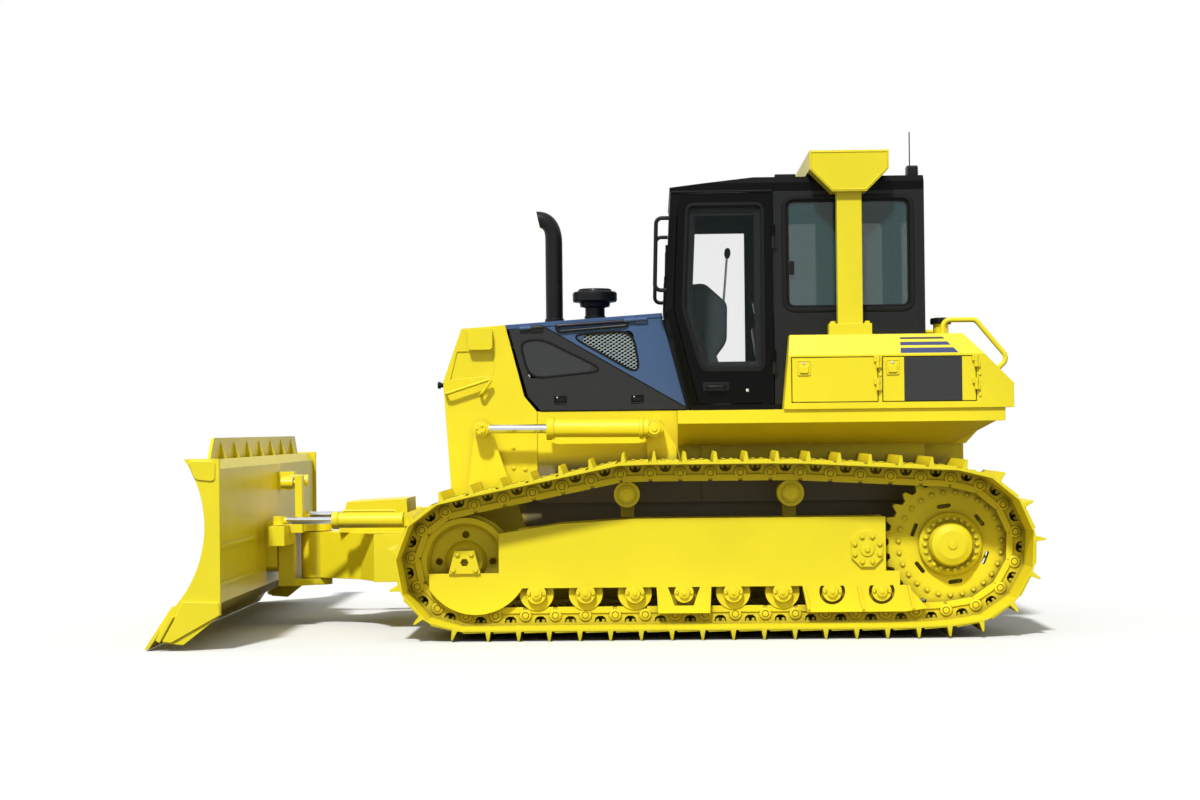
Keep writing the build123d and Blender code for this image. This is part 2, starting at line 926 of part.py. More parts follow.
# Nose: a hollow guard round the radiator, with an opening at the front
nose_line = [
    (nose_front_x - 52, hull_top),
    (nose_front_x, nose_brow_z),
    (nose_brow_x, nose_top_z - 22),
    (nose_rear_x, nose_top_z),
    (nose_rear_x - 128, door_bottom_z + 100),
    (nose_rear_x - 215, door_bottom_z - gap),
    (nose_rear_x - 215, hull_top),
]
with BuildPart() as radiator_guard:
    with BuildSketch(side(nose_half)):
        Polygon(*nose_line, align=None)
    extrude(amount=2 * nose_half)
    with BuildSketch(side(nose_half - nose_wall)):
        Polygon(*nose_line, align=None)
        offset(amount=-nose_wall, mode=Mode.REPLACE)
    extrude(amount=2 * (nose_half - nose_wall), mode=Mode.SUBTRACT)
    with BuildSketch(across(nose_front_x + 10)):
        with Locations((0, (grille_bottom + grille_top) / 2)):
            Rectangle(2 * grille_half, grille_top - grille_bottom)
    extrude(amount=-120, mode=Mode.SUBTRACT)
    with BuildSketch(across(nose_rear_x - 240)):
        with Locations((0, (hull_top + nose_top_z) / 2 - 40)):
            Rectangle(2 * (nose_half - nose_wall), nose_top_z - hull_top - 180)
    extrude(amount=220, mode=Mode.SUBTRACT)
    for pocket_face in (nose_half, -nose_half + nose_pocket):
        with BuildSketch(side(pocket_face)):
            with BuildLine():
                Polyline(
                    (nose_rear_x + 80, nose_top_z - 180),
                    (nose_brow_x + 30, nose_top_z - 180),
                    (nose_front_x - 50, nose_brow_z + 14),
                    (nose_rear_x + 80, nose_brow_z + 36),
                    close=True,
                )
            make_face()
        extrude(amount=nose_pocket, mode=Mode.SUBTRACT)
radiator_guard.part.label = "radiator_guard"
export_step(radiator_guard.part, "parts/radiator_guard.step")

# Radiator core inside the nose
with BuildPart() as radiator_core:
    with BuildSketch(across(nose_front_x - core_back)):
        with Locations((0, (hull_top + nose_top_z) / 2)):
            Rectangle(2 * (nose_half - nose_wall), nose_top_z - hull_top - 2 * core_margin)
    extrude(amount=core_thick)
radiator_core.part.label = "radiator_core"
export_step(radiator_core.part, "parts/radiator_core.step")

# Front grille: a frame with level bars that fills the nose's opening
lean_x = 52.0 / (nose_brow_z - hull_top)
grille_foot_x = nose_front_x - 52 + (grille_bottom - hull_top) * lean_x
grille_head_x = nose_front_x - 52 + (grille_top - hull_top) * lean_x
with BuildPart() as front_grille:
    with BuildSketch(side(grille_half - fit)):
        with BuildLine():
            Polyline(
                (grille_foot_x, grille_bottom + fit),
                (grille_head_x, grille_top - fit),
                (grille_head_x - 40, grille_top - fit),
                (grille_foot_x - 40, grille_bottom + fit),
                close=True,
            )
        make_face()
    extrude(amount=2 * (grille_half - fit))
    bar_step = (grille_top - grille_bottom - 60) / bar_count
    with BuildSketch(across(nose_front_x + 10)):
        with Locations((-grille_half / 2, (grille_bottom + grille_top) / 2)):
            with GridLocations(0, bar_step, 1, bar_count):
                Rectangle(grille_half - 60, bar_step - bar_width)
        with Locations((grille_half / 2, (grille_bottom + grille_top) / 2)):
            with GridLocations(0, bar_step, 1, bar_count):
                Rectangle(grille_half - 60, bar_step - bar_width)
    extrude(amount=-160, mode=Mode.SUBTRACT)
front_grille.part.label = "front_grille"
export_step(front_grille.part, "parts/front_grille.step")

# Work lamps in boxes at the nose's upper sides
lamp_x = nose_brow_x - lamp_back
lamp_z = nose_top_z - lamp_drop
lamp_out = nose_half + lamp_depth
with BuildPart() as head_lamps:
    with BuildSketch(side(lamp_out)):
        with Locations((lamp_x, lamp_z)):
            RectangleRounded(lamp_length, lamp_height, lamp_corner)
    extrude(amount=lamp_out - nose_half)
    with BuildSketch(across(lamp_x + lamp_length / 2)):
        with Locations((nose_half + lamp_depth / 2, lamp_z)):
            Rectangle(lens_width, lens_height)
    extrude(amount=-lens_depth, mode=Mode.SUBTRACT)
    mirror(about=Plane.XZ)
head_lamps.part.label = "head_lamps"
export_step(head_lamps.part, "parts/head_lamps.step")

# Hinge line of the engine doors along the hood's edge, rising to the rear
hood_half = nose_half - 2
hinge_lean = math.atan(hood_rise)
door_top_drop = hood_plate + gap
hinge_mids = [(nose_rear_x + hood_rear_x) / 2 + s for s in (-360, 360)]


def hinge_plane(x, ahead):
    z = hood_z(x) - hood_plate - gap / 2
    return Plane(
        (mid_x + x - ahead * math.cos(hinge_lean), hood_half + hinge_off, z + ahead * math.sin(hinge_lean)),
        x_dir=(0, 1, 0),
        z_dir=(-math.cos(hinge_lean), 0, math.sin(hinge_lean)),
    )


# Hood top between the nose and the cab, with the fixed halves of the door hinges
with BuildPart() as hood_top:
    with BuildSketch(side(hood_half)):
        with BuildLine():
            Polyline(
                (nose_rear_x, nose_top_z),
                (hood_rear_x, hood_z(hood_rear_x)),
                (hood_rear_x - 8, hood_z(hood_rear_x) - hood_plate),
                (nose_rear_x - 8, nose_top_z - hood_plate),
                close=True,
            )
        make_face()
    extrude(amount=2 * hood_half)
    for x in hinge_mids:
        with BuildSketch(hinge_plane(x, 0)):
            Circle(hinge_r)
            with Locations((-hinge_off / 2, -hinge_leaf / 2)):
                Rectangle(hinge_off, hinge_leaf)
        extrude(amount=-hinge_length)
    mirror(about=Plane.XZ)
hood_top.part.label = "hood_top"
export_step(hood_top.part, "parts/hood_top.step")

# Engine side doors with a window, a triangle for the air mesh and pockets for the latches
engine_door_line = [
    (nose_rear_x - door_front_gap, hood_z(nose_rear_x - door_front_gap) - door_top_drop),
    (hood_rear_x, hood_z(hood_rear_x) - door_top_drop),
    (hood_rear_x - 164, door_bottom_z),
    (nose_rear_x - 215 - door_front_gap, door_bottom_z),
    (nose_rear_x - 128 - door_front_gap, door_bottom_z + 100),
]
door_window = [
    (nose_rear_x - 98, nose_top_z - 114),
    (nose_rear_x - 252, nose_top_z - 98),
    (hood_rear_x + 388, door_bottom_z + 272),
    (nose_rear_x - 164, door_bottom_z + 220),
]
door_mesh = [
    (hood_rear_x + 642, nose_top_z - 75),
    (hood_rear_x + 201, nose_top_z - 47),
    (hood_rear_x + 150, door_bottom_z + 236),
]
with BuildPart() as engine_door_left:
    with BuildSketch(side(hood_half)):
        Polygon(*engine_door_line, align=None)
    extrude(amount=door_wall)
    with BuildSketch(side(hood_half)):
        Polygon(*door_window, align=None)
        Polygon(*door_mesh, align=None)
        fillet(vertices(), door_cut_corner)
    extrude(amount=door_wall, mode=Mode.SUBTRACT)
    with BuildSketch(side(hood_half)):
        for x in latch_xs:
            with Locations((x, latch_z)):
                RectangleRounded(*latch_size, latch_depth)
    extrude(amount=latch_depth, mode=Mode.SUBTRACT)
    for x in hinge_mids:
        with BuildSketch(hinge_plane(x, fit)):
            Circle(hinge_r)
            with Locations((-hinge_off / 2, hinge_leaf / 2)):
                Rectangle(hinge_off, hinge_leaf)
        extrude(amount=hinge_length)
engine_door_left.part.label = "engine_door_left"
export_step(engine_door_left.part, "parts/engine_door_left.step")

with BuildPart() as engine_door_right:
    mirror(engine_door_left.part, about=Plane.XZ)
engine_door_right.part.label = "engine_door_right"
export_step(engine_door_right.part, "parts/engine_door_right.step")


def hood_plane(x):
    return Plane(
        (mid_x + x, 0, hood_z(x)),
        x_dir=(math.cos(hinge_lean), 0, -math.sin(hinge_lean)),
        z_dir=(math.sin(hinge_lean), 0, math.cos(hinge_lean)),
    )


# Exhaust stack with a collar on the hood and an open end that bends forward
stack_z = hood_z(exhaust_x) + 20
with BuildPart() as exhaust_stack:
    with BuildSketch(hood_plane(exhaust_x)):
        Circle(exhaust_r + 16)
    extrude(amount=50)
    with BuildLine(side(0)) as stack_path:
        stack_run = Line((exhaust_x, stack_z), (exhaust_x, exhaust_top_z))
        JernArc(stack_run @ 1, stack_run % 1, exhaust_bend, -62)
    with BuildSketch(level(stack_z)):
        with Locations((exhaust_x, 0)):
            Circle(exhaust_r)
    sweep(path=stack_path.wires()[0])
    with BuildSketch(Plane(stack_path.wires()[0] ^ 1)):
        Circle(exhaust_r - exhaust_wall)
    extrude(amount=-90, mode=Mode.SUBTRACT)
exhaust_stack.part.label = "exhaust_stack"
export_step(exhaust_stack.part, "parts/exhaust_stack.step")

# Air pre-cleaner: a neck and a mushroom cap
with BuildPart() as air_precleaner:
    with BuildSketch(hood_plane(cleaner_x)):
        Circle(cleaner_neck_r)
    extrude(amount=cleaner_z - hood_z(cleaner_x) + 20)
    with BuildSketch(Plane((mid_x + cleaner_x, 0, cleaner_z), x_dir=(1, 0, 0), z_dir=(0, -1, 0))):
        with BuildLine():
            Polyline(
                (0, 0),
                (cleaner_r - 34, 0),
                (cleaner_r, 22),
                (cleaner_r, cleaner_height - 44),
                (cleaner_r - 26, cleaner_height - 20),
                (50, cleaner_height),
                (0, cleaner_height),
                close=True,
            )
        make_face()
    revolve(axis=Axis((mid_x + cleaner_x, 0, cleaner_z), (0, 0, 1)))
air_precleaner.part.label = "air_precleaner"
export_step(air_precleaner.part, "parts/air_precleaner.step")

# Cab: floor, front and rear frames, rear side walls and roof round a hollow inside
floor_top = deck_z + cab_floor


def cab_front_x(z):
    if z < cab_waist_z:
        t = (z - floor_top) / (cab_waist_z - floor_top)
        return cab_foot_x + (cab_waist_x - cab_foot_x) * t
    t = (z - cab_waist_z) / (cab_eaves_z - cab_waist_z)
    return cab_waist_x + (cab_brow_x - cab_waist_x) * t


with BuildPart() as cab_base:
    with BuildSketch(side(cab_half)):
        with BuildLine():
            Polyline(
                (cab_rear_x, deck_z),
                (cab_foot_x - 12, deck_z),
                (cab_foot_x, floor_top),
                (cab_rear_x, floor_top),
                close=True,
            )
        make_face()
    extrude(amount=2 * cab_half)
cab_base.part.label = "cab_base"
export_step(cab_base.part, "parts/cab_base.step")

screen_half = cab_half - cab_wall - screen_edge
with BuildPart() as cab_front:
    with BuildSketch(side(cab_half)):
        with BuildLine():
            Polyline(
                (cab_foot_x, floor_top),
                (cab_waist_x, cab_waist_z),
                (cab_brow_x, cab_eaves_z),
                (cab_brow_x - frame_depth, cab_eaves_z),
                (cab_waist_x - frame_depth, cab_waist_z),
                (cab_foot_x - frame_depth, floor_top),
                close=True,
            )
        make_face()
    extrude(amount=2 * cab_half)
    front_faces = faces().filter_by(lambda face: face.normal_at().X > 0.5)
    chamfer(front_faces.edges().filter_by(lambda edge: abs(edge.tangent_at(0.5).Y) < 0.5), post_bevel)
    with BuildSketch(across(cab_waist_x + 20)):
        with Locations((0, (screen_bottom + screen_top) / 2)):
            Rectangle(2 * screen_half, screen_top - screen_bottom)
    extrude(amount=-320, mode=Mode.SUBTRACT)
cab_front.part.label = "cab_front"
export_step(cab_front.part, "parts/cab_front.step")

with BuildPart() as cab_rear:
    with BuildSketch(across(cab_rear_x)):
        with Locations((0, (floor_top + cab_eaves_z) / 2)):
            Rectangle(2 * cab_half, cab_eaves_z - floor_top)
        with Locations((0, rear_window_z)):
            RectangleRounded(*rear_window, rear_window_corner, mode=Mode.SUBTRACT)
    extrude(amount=cab_wall)
cab_rear.part.label = "cab_rear"
export_step(cab_rear.part, "parts/cab_rear.step")

side_window_x = (pillar_x - pillar_width + cab_rear_x + side_window_margin) / 2
side_window = (pillar_x - pillar_width - cab_rear_x - side_window_margin, side_window_height)
door_hinge_x = pillar_x + gap / 2
door_hinge_y = cab_half + hinge_off
with BuildPart() as cab_sides:
    with BuildSketch(side(cab_half)):
        with BuildLine():
            Polyline(
                (cab_rear_x + cab_wall, floor_top),
                (pillar_x, floor_top),
                (pillar_x, cab_eaves_z),
                (cab_rear_x + cab_wall, cab_eaves_z),
                close=True,
            )
        make_face()
        with Locations((side_window_x, side_window_z)):
            RectangleRounded(*side_window, side_window_corner, mode=Mode.SUBTRACT)
    extrude(amount=cab_wall)
    for z in door_hinge_zs:
        with BuildSketch(level(z)):
            with Locations((door_hinge_x, door_hinge_y)):
                Circle(hinge_r)
            with Locations((door_hinge_x - hinge_leaf / 2, cab_half + hinge_off / 2)):
                Rectangle(hinge_leaf, hinge_off)
        extrude(amount=-hinge_length)
    mirror(about=Plane.XZ)
cab_sides.part.label = "cab_sides"
export_step(cab_sides.part, "parts/cab_sides.step")

with BuildPart() as cab_roof:
    with BuildSketch(side(cab_half)):
        with BuildLine():
            Polyline(
                (cab_rear_x, cab_eaves_z),
                (cab_brow_x, cab_eaves_z),
                (cab_brow_x + 6, cab_eaves_z + roof_front),
                (cab_brow_x - roof_break, cab_eaves_z + roof_rear),
                (cab_rear_x, cab_eaves_z + roof_rear),
                close=True,
            )
        make_face()
    extrude(amount=2 * cab_half)
    chamfer(cab_roof.faces().sort_by(Axis.Z)[-1].edges().filter_by(Axis.X), roof_bevel)
cab_roof.part.label = "cab_roof"
export_step(cab_roof.part, "parts/cab_roof.step")

# Fixed panes, each seated in its window frame
screen_foot_x = cab_front_x(screen_bottom + fit) - screen_inset
screen_head_x = cab_front_x(screen_top - fit) - screen_inset
with BuildPart() as cab_glass:
    with BuildSketch(across(cab_rear_x + cab_wall / 2 - glass / 2)):
        with Locations((0, rear_window_z)):
            RectangleRounded(rear_window[0] - 2 * fit, rear_window[1] - 2 * fit, rear_window_corner - fit)
    extrude(amount=glass)
    for pane_y in (cab_half - cab_wall / 2 + glass / 2, -cab_half + cab_wall / 2 + glass / 2):
        with BuildSketch(side(pane_y)):
            with Locations((side_window_x, side_window_z)):
                RectangleRounded(side_window[0] - 2 * fit, side_window[1] - 2 * fit, side_window_corner - fit)
        extrude(amount=glass)
    with BuildSketch(side(screen_half - fit)):
        with BuildLine():
            Polyline(
                (screen_foot_x, screen_bottom + fit),
                (cab_waist_x - screen_inset, cab_waist_z),
                (screen_head_x, screen_top - fit),
                (screen_head_x - glass, screen_top - fit),
                (cab_waist_x - screen_inset - glass, cab_waist_z),
                (screen_foot_x - glass, screen_bottom + fit),
                close=True,
            )
        make_face()
    extrude(amount=2 * (screen_half - fit))
cab_glass.part.label = "cab_glass"
export_step(cab_glass.part, "parts/cab_glass.step")

# Cab doors with a large window, hung at the pillar
door_sill = floor_top + gap
door_head = cab_eaves_z - gap
door_edge = frame_depth + gap
window_sill = floor_top + sill_rise
window_head = cab_eaves_z - head_drop
door_rear_x = pillar_x + gap
window_line = [
    (door_rear_x + window_rear, window_sill),
    (cab_front_x(window_sill) - window_edge - 20, window_sill),
    (cab_front_x(cab_waist_z) - window_edge, cab_waist_z),
    (cab_front_x(window_head) - window_edge, window_head),
    (door_rear_x + window_rear, window_head),
]
with BuildPart() as cab_door_left:
    with BuildSketch(side(cab_half)):
        with BuildLine():
            Polyline(
                (door_rear_x, door_sill),
                (cab_front_x(door_sill) - door_edge, door_sill),
                (cab_front_x(cab_waist_z) - door_edge, cab_waist_z),
                (cab_front_x(door_head) - door_edge, door_head),
                (door_rear_x, door_head),
                close=True,
            )
        make_face()
    extrude(amount=cab_wall)
    with BuildSketch(side(cab_half)):
        Polygon(*window_line, align=None)
        fillet(vertices(), window_corner)
    extrude(amount=cab_wall, mode=Mode.SUBTRACT)
    for z in door_hinge_zs:
        with BuildSketch(level(z + fit)):
            with Locations((door_hinge_x, door_hinge_y)):
                Circle(hinge_r)
            with Locations((door_hinge_x + hinge_leaf / 2, cab_half + hinge_off / 2)):
                Rectangle(hinge_leaf, hinge_off)
        extrude(amount=hinge_length)
cab_door_left.part.label = "cab_door_left"
export_step(cab_door_left.part, "parts/cab_door_left.step")

with BuildPart() as cab_door_right:
    mirror(cab_door_left.part, about=Plane.XZ)
cab_door_right.part.label = "cab_door_right"
export_step(cab_door_right.part, "parts/cab_door_right.step")

with BuildPart() as door_glass_left:
    with BuildSketch(side(cab_half - cab_wall / 2 + glass / 2)):
        Polygon(*window_line, align=None)
        fillet(vertices(), window_corner)
        offset(amount=-fit, mode=Mode.REPLACE)
    extrude(amount=glass)
door_glass_left.part.label = "door_glass_left"
export_step(door_glass_left.part, "parts/door_glass_left.step")

with BuildPart() as door_glass_right:
    mirror(door_glass_left.part, about=Plane.XZ)
door_glass_right.part.label = "door_glass_right"
export_step(door_glass_right.part, "parts/door_glass_right.step")

# Operator's seat and the dash with its side consoles
seat_top = floor_top + seat_rise + seat_cushion + seat_back
with BuildPart() as operator_seat:
    with BuildSketch(side(seat_half)):
        with BuildLine():
            Polyline(
                (seat_x - seat_base, floor_top),
                (seat_x + seat_base, floor_top),
                (seat_x + seat_base, floor_top + seat_rise),
                (seat_x + seat_front, floor_top + seat_rise + seat_slope),
                (seat_x + seat_front, floor_top + seat_rise + seat_slope + seat_cushion),
                (seat_x - seat_hinge, floor_top + seat_rise + seat_cushion),
                (seat_x - seat_hinge - seat_lean, seat_top),
                (seat_x - seat_hinge - seat_pad - seat_lean, seat_top),
                (seat_x - seat_hinge - seat_pad - seat_slope, floor_top + seat_rise),
                (seat_x - seat_base, floor_top + seat_rise - seat_slope / 2),
                close=True,
            )
        make_face()
    extrude(amount=2 * seat_half)
operator_seat.part.label = "operator_seat"
export_step(operator_seat.part, "parts/operator_seat.step")

with BuildPart() as operator_console:
    with BuildSketch(side(console_half)):
        with BuildLine():
            Polyline(
                (cab_foot_x - frame_depth - 240, floor_top),
                (cab_foot_x - frame_depth - 20, floor_top),
                (cab_foot_x + 40, floor_top + console_rise - 180),
                (cab_foot_x + 30, floor_top + console_rise),
                (cab_foot_x - 130, floor_top + console_rise - 80),
                close=True,
            )
        make_face()
    extrude(amount=2 * console_half)
    for console_y in (arm_console_in + arm_console_width, -arm_console_in):
        with BuildSketch(side(console_y)):
            with BuildLine():
                Polyline(
                    (seat_x - 200, floor_top),
                    (seat_x + 300, floor_top),
                    (seat_x + 380, floor_top + console_rise - 80),
                    (seat_x + 300, floor_top + console_rise),
                    (seat_x - 200, floor_top + console_rise - 20),
                    close=True,
                )
            make_face()
        extrude(amount=arm_console_width)
operator_console.part.label = "operator_console"
export_step(operator_console.part, "parts/operator_console.step")

# Fenders: a deck with an outer strip and a belly that slopes in above the tracks
with BuildPart() as fenders:
    with BuildSketch(across(fender_rear_x)):
        with BuildLine():
            Polyline(
                (fender_in, deck_z),
                (fender_half, deck_z),
                (fender_half, deck_z - fender_edge),
                (fender_belly_y, fender_belly_z),
                (fender_in, fender_belly_z),
                close=True,
            )
        make_face()
    extrude(amount=fender_front_x - fender_rear_x)
    with BuildSketch(side(fender_half)):
        with BuildLine():
            Polyline(
                (fender_rear_x - 1, deck_z - fender_edge),
                (fender_rear_x + 60, deck_z - fender_edge),
                (fender_rear_x + 300, fender_belly_z - 1),
                (fender_rear_x - 1, fender_belly_z - 1),
                close=True,
            )
        make_face()
    extrude(amount=fender_half - fender_in, mode=Mode.SUBTRACT)
    mirror(about=Plane.XZ)
fenders.part.label = "fenders"
export_step(fenders.part, "parts/fenders.step")

# Side boxes beside the cab: bevelled along the top, cut away behind; the left one
# holds two compartments behind doors
box_line = [
    (box_front_x, deck_z),
    (box_front_x - 47, box_top_z),
    (box_rear_x + slope_x, box_top_z),
    (box_rear_x, box_top_z - slope_z),
    (box_rear_x, deck_z),
]
box_doors = [(box_front_x - 52, box_seam_x + 14), (box_seam_x - 12, box_door_rear_x)]
box_depth = box_out - box_in - box_wall
with BuildPart() as side_box_right:
    with BuildSketch(side(-box_in)):
        Polygon(*box_line, align=None)
    extrude(amount=box_out - box_in)
    with BuildSketch(across(box_front_x + 10)):
        with BuildLine():
            Polyline(
                (-box_out, box_crease_z),
                (-box_bevel_y, box_top_z),
                (-box_bevel_y, box_top_z + 10),
                (-box_out - 10, box_top_z + 10),
                (-box_out - 10, box_crease_z),
                close=True,
            )
        make_face()
    extrude(amount=box_rear_x - box_front_x - 20, mode=Mode.SUBTRACT)
side_box_right.part.label = "side_box_right"
export_step(side_box_right.part, "parts/side_box_right.step")

box_hinge_y = box_out + hinge_off
with BuildPart() as side_box_left:
    mirror(side_box_right.part, about=Plane.XZ)
    for front, rear in box_doors:
        with BuildSketch(side(box_out)):
            with Locations(((front + rear) / 2, (box_door_z[0] + box_door_z[1]) / 2)):
                Rectangle(front - rear, box_door_z[1] - box_door_z[0])
        extrude(amount=box_depth, mode=Mode.SUBTRACT)
        for z in box_hinge_zs:
            with BuildSketch(level(z)):
                with Locations((rear + gap / 2, box_hinge_y)):
                    Circle(hinge_r)
                with Locations((rear + gap / 2 - hinge_leaf / 2, box_out + hinge_off / 2)):
                    Rectangle(hinge_leaf, hinge_off)
            extrude(amount=-hinge_length / 2)
side_box_left.part.label = "side_box_left"
export_step(side_box_left.part, "parts/side_box_left.step")

front, rear = box_doors[0]
with BuildPart() as box_door_front:
    with BuildSketch(side(box_out)):
        with Locations(((front + rear) / 2, (box_door_z[0] + box_door_z[1]) / 2)):
            Rectangle(front - rear - 2 * gap, box_door_z[1] - box_door_z[0] - 2 * gap)
    extrude(amount=box_wall)
    for z in box_hinge_zs:
        with BuildSketch(level(z + fit)):
            with Locations((rear + gap / 2, box_hinge_y)):
                Circle(hinge_r)
            with Locations((rear + gap / 2 + hinge_leaf / 2, box_out + hinge_off / 2)):
                Rectangle(hinge_leaf, hinge_off)
        extrude(amount=hinge_length / 2)
box_door_front.part.label = "box_door_front"
export_step(box_door_front.part, "parts/box_door_front.step")

front, rear = box_doors[1]
with BuildPart() as box_door_rear:
    with BuildSketch(side(box_out)):
        with Locations(((front + rear) / 2, (box_door_z[0] + box_door_z[1]) / 2)):
            Rectangle(front - rear - 2 * gap, box_door_z[1] - box_door_z[0] - 2 * gap)
    extrude(amount=box_wall)
    for z in box_hinge_zs:
        with BuildSketch(level(z + fit)):
            with Locations((rear + gap / 2, box_hinge_y)):
                Circle(hinge_r)
            with Locations((rear + gap / 2 + hinge_leaf / 2, box_out + hinge_off / 2)):
                Rectangle(hinge_leaf, hinge_off)
        extrude(amount=hinge_length / 2)
box_door_rear.part.label = "box_door_rear"
export_step(box_door_rear.part, "parts/box_door_rear.step")

# Fuel tank between the side boxes behind the cab, with its filler neck
with BuildPart() as fuel_tank:
    with BuildSketch(side(box_in)):
        with BuildLine():
            Polyline(
                (tank_front_x, deck_z),
                (tank_front_x, tank_top_z),
                (tank_rear_x + 270, tank_top_z),
                (tank_rear_x, tank_top_z - 290),
                (tank_rear_x, deck_z),
                close=True,
            )
        make_face()
    extrude(amount=2 * box_in)
    with BuildSketch(side(fender_in)):
        with BuildLine():
            Polyline(
                (tank_front_x, tank_bottom_z),
                (tank_front_x, deck_z),
                (tank_rear_x, deck_z),
                (hull_rear_x, tank_bottom_z),
                close=True,
            )
        make_face()
    extrude(amount=2 * fender_in)
    with BuildSketch(level(tank_top_z)):
        with Locations((tank_front_x - 110, box_in - 190)):
            Circle(filler_r)
    extrude(amount=filler_rise)
    with BuildSketch(level(tank_top_z + filler_rise)):
        with Locations((tank_front_x - 110, box_in - 190)):
            Circle(filler_cap_r)
    extrude(amount=filler_cap)
fuel_tank.part.label = "fuel_tank"
export_step(fuel_tank.part, "parts/fuel_tank.step")

# Roll bar: two posts on the side boxes and a cross beam with tapered ends
with BuildPart() as rops_posts:
    with BuildSketch(level(box_top_z)):
        with Locations((post_x, (post_in + post_out) / 2)):
            Rectangle(286, post_out - post_in + 10)
    extrude(amount=72)
    with BuildSketch(level(box_top_z + 72)):
        with Locations((post_x, (post_in + post_out) / 2)):
            Rectangle(post_width, post_out - post_in)
    extrude(amount=bar_foot_z - box_top_z - 72)
    mirror(about=Plane.XZ)
rops_posts.part.label = "rops_posts"
export_step(rops_posts.part, "parts/rops_posts.step")

with BuildPart() as rops_beam:
    with BuildSketch(side(bar_out)):
        with BuildLine():
            Polyline(
                (post_x + bar_half, bar_top_z),
                (post_x + bar_half, bar_bottom_z),
                (post_x + bar_half - 150, bar_foot_z),
                (post_x - bar_half + 150, bar_foot_z),
                (post_x - bar_half, bar_bottom_z),
                (post_x - bar_half, bar_top_z),
                close=True,
            )
        make_face()
    extrude(amount=bar_out - cab_half - side_gap)
    mirror(about=Plane.XZ)
    with BuildSketch(side(cab_half + side_gap)):
        with Locations((post_x, (bar_top_z + bar_bottom_z) / 2)):
            Rectangle(2 * bar_half, bar_top_z - bar_bottom_z)
    extrude(amount=2 * (cab_half + side_gap))
rops_beam.part.label = "rops_beam"
export_step(rops_beam.part, "parts/rops_beam.step")

# Rear handrails on the side boxes, bent from round tube
slope = math.hypot(slope_x, slope_z)
rail_foot_x = box_rear_x + slope_x * 0.28
rail_foot_z = box_top_z - slope_z * 0.72
with BuildPart() as handrails:
    with BuildLine(side(rail_y)) as rail_path:
        FilletPolyline(
            (box_rear_x + rail_start, box_top_z),
            (box_rear_x + rail_start, box_top_z + rail_height),
            (box_rear_x + rail_bend, box_top_z + rail_height),
            (rail_foot_x - rail_stand * slope_z / slope, rail_foot_z + rail_stand * slope_x / slope),
            (rail_foot_x, rail_foot_z),
            radius=rail_corner,
        )
    with BuildSketch(level(box_top_z)):
        with Locations((box_rear_x + rail_start, rail_y)):
            Circle(rail_r)
    sweep(path=rail_path.wires()[0])
    mirror(about=Plane.XZ)
handrails.part.label = "handrails"
export_step(handrails.part, "parts/handrails.step")

# Grab rails on the cab's front corners and the aerial on the roof
with BuildPart() as grab_rails:
    with BuildLine(side(cab_half - post_bevel - grab_r - 3)) as grab_path:
        FilletPolyline(
            (cab_front_x(grab_head_z) + 1, grab_head_z),
            (cab_front_x(grab_head_z) + grab_reach, grab_head_z),
            (cab_front_x(grab_foot_z) + grab_reach - 10, grab_foot_z),
            (cab_front_x(grab_foot_z) + 1, grab_foot_z),
            radius=grab_corner,
        )
    with BuildSketch(Plane(grab_path.wires()[0] ^ 0)):
        Circle(grab_r)
    sweep(path=grab_path.wires()[0])
    mirror(about=Plane.XZ)
grab_rails.part.label = "grab_rails"
export_step(grab_rails.part, "parts/grab_rails.step")

with BuildPart() as aerial:
    with BuildSketch(level(cab_eaves_z + roof_rear)):
        with Locations((aerial_x, aerial_y)):
            Circle(aerial_foot_r)
    extrude(amount=aerial_foot)
    with BuildSketch(level(cab_eaves_z + roof_rear + aerial_foot)):
        with Locations((aerial_x, aerial_y)):
            Circle(aerial_r)
    extrude(amount=aerial_top_z - cab_eaves_z - roof_rear - aerial_foot)
aerial.part.label = "aerial"
export_step(aerial.part, "parts/aerial.step")

# Lift arms between the hull and the tracks, each with a tower for its cylinder and a
# stub that carries the angle cylinder
with BuildPart() as lift_arms:
    with BuildSketch(side(arm_out)):
        with BuildLine():
            Polyline(
                (lift_x, lift_z + arm_root_r),
                (lift_x + 800, lift_z + 130),
                (cross_x + cross_depth, frame_top),
                (cross_x + cross_depth, frame_bottom),
                (cross_x - 60, frame_bottom),
                (lift_x + 800, lift_z - 80),
                (lift_x, lift_z - arm_root_r),
                close=True,
            )
        make_face()
        with Locations((lift_x, lift_z)):
            Circle(arm_root_r)
        with BuildLine():
            Polyline(
                (tower_x - 305, lift_z + 100),
                (tower_x - 50, tower_z + 26),
                (tower_x + 50, tower_z + 26),
                (tower_x + 140, lift_z + 60),
                close=True,
            )
        make_face()
        with Locations((tower_x, tower_z)):
            Circle(58)
        with Locations((lift_x, lift_z)):
            Circle(lift_pin_r + fit, mode=Mode.SUBTRACT)
    extrude(amount=arm_out - arm_in)
    with BuildSketch(side(arm_out + side_gap)):
        with Locations((tower_x, tower_z)):
            Circle(36)
    extrude(amount=side_gap)
    with BuildSketch(level(frame_top - 20)):
        with Locations((angle_tail_x, angle_tail_y)):
            Circle(angle_pin_r)
    extrude(amount=angle_z + 46 - frame_top + 20)
    with BuildSketch(level(frame_top - 20)):
        with Locations((angle_tail_x, angle_tail_y)):
            Circle(28)
    extrude(amount=angle_z - 40 - frame_top + 20 - fit)
    mirror(about=Plane.XZ)
lift_arms.part.label = "lift_arms"
export_step(lift_arms.part, "parts/lift_arms.step")

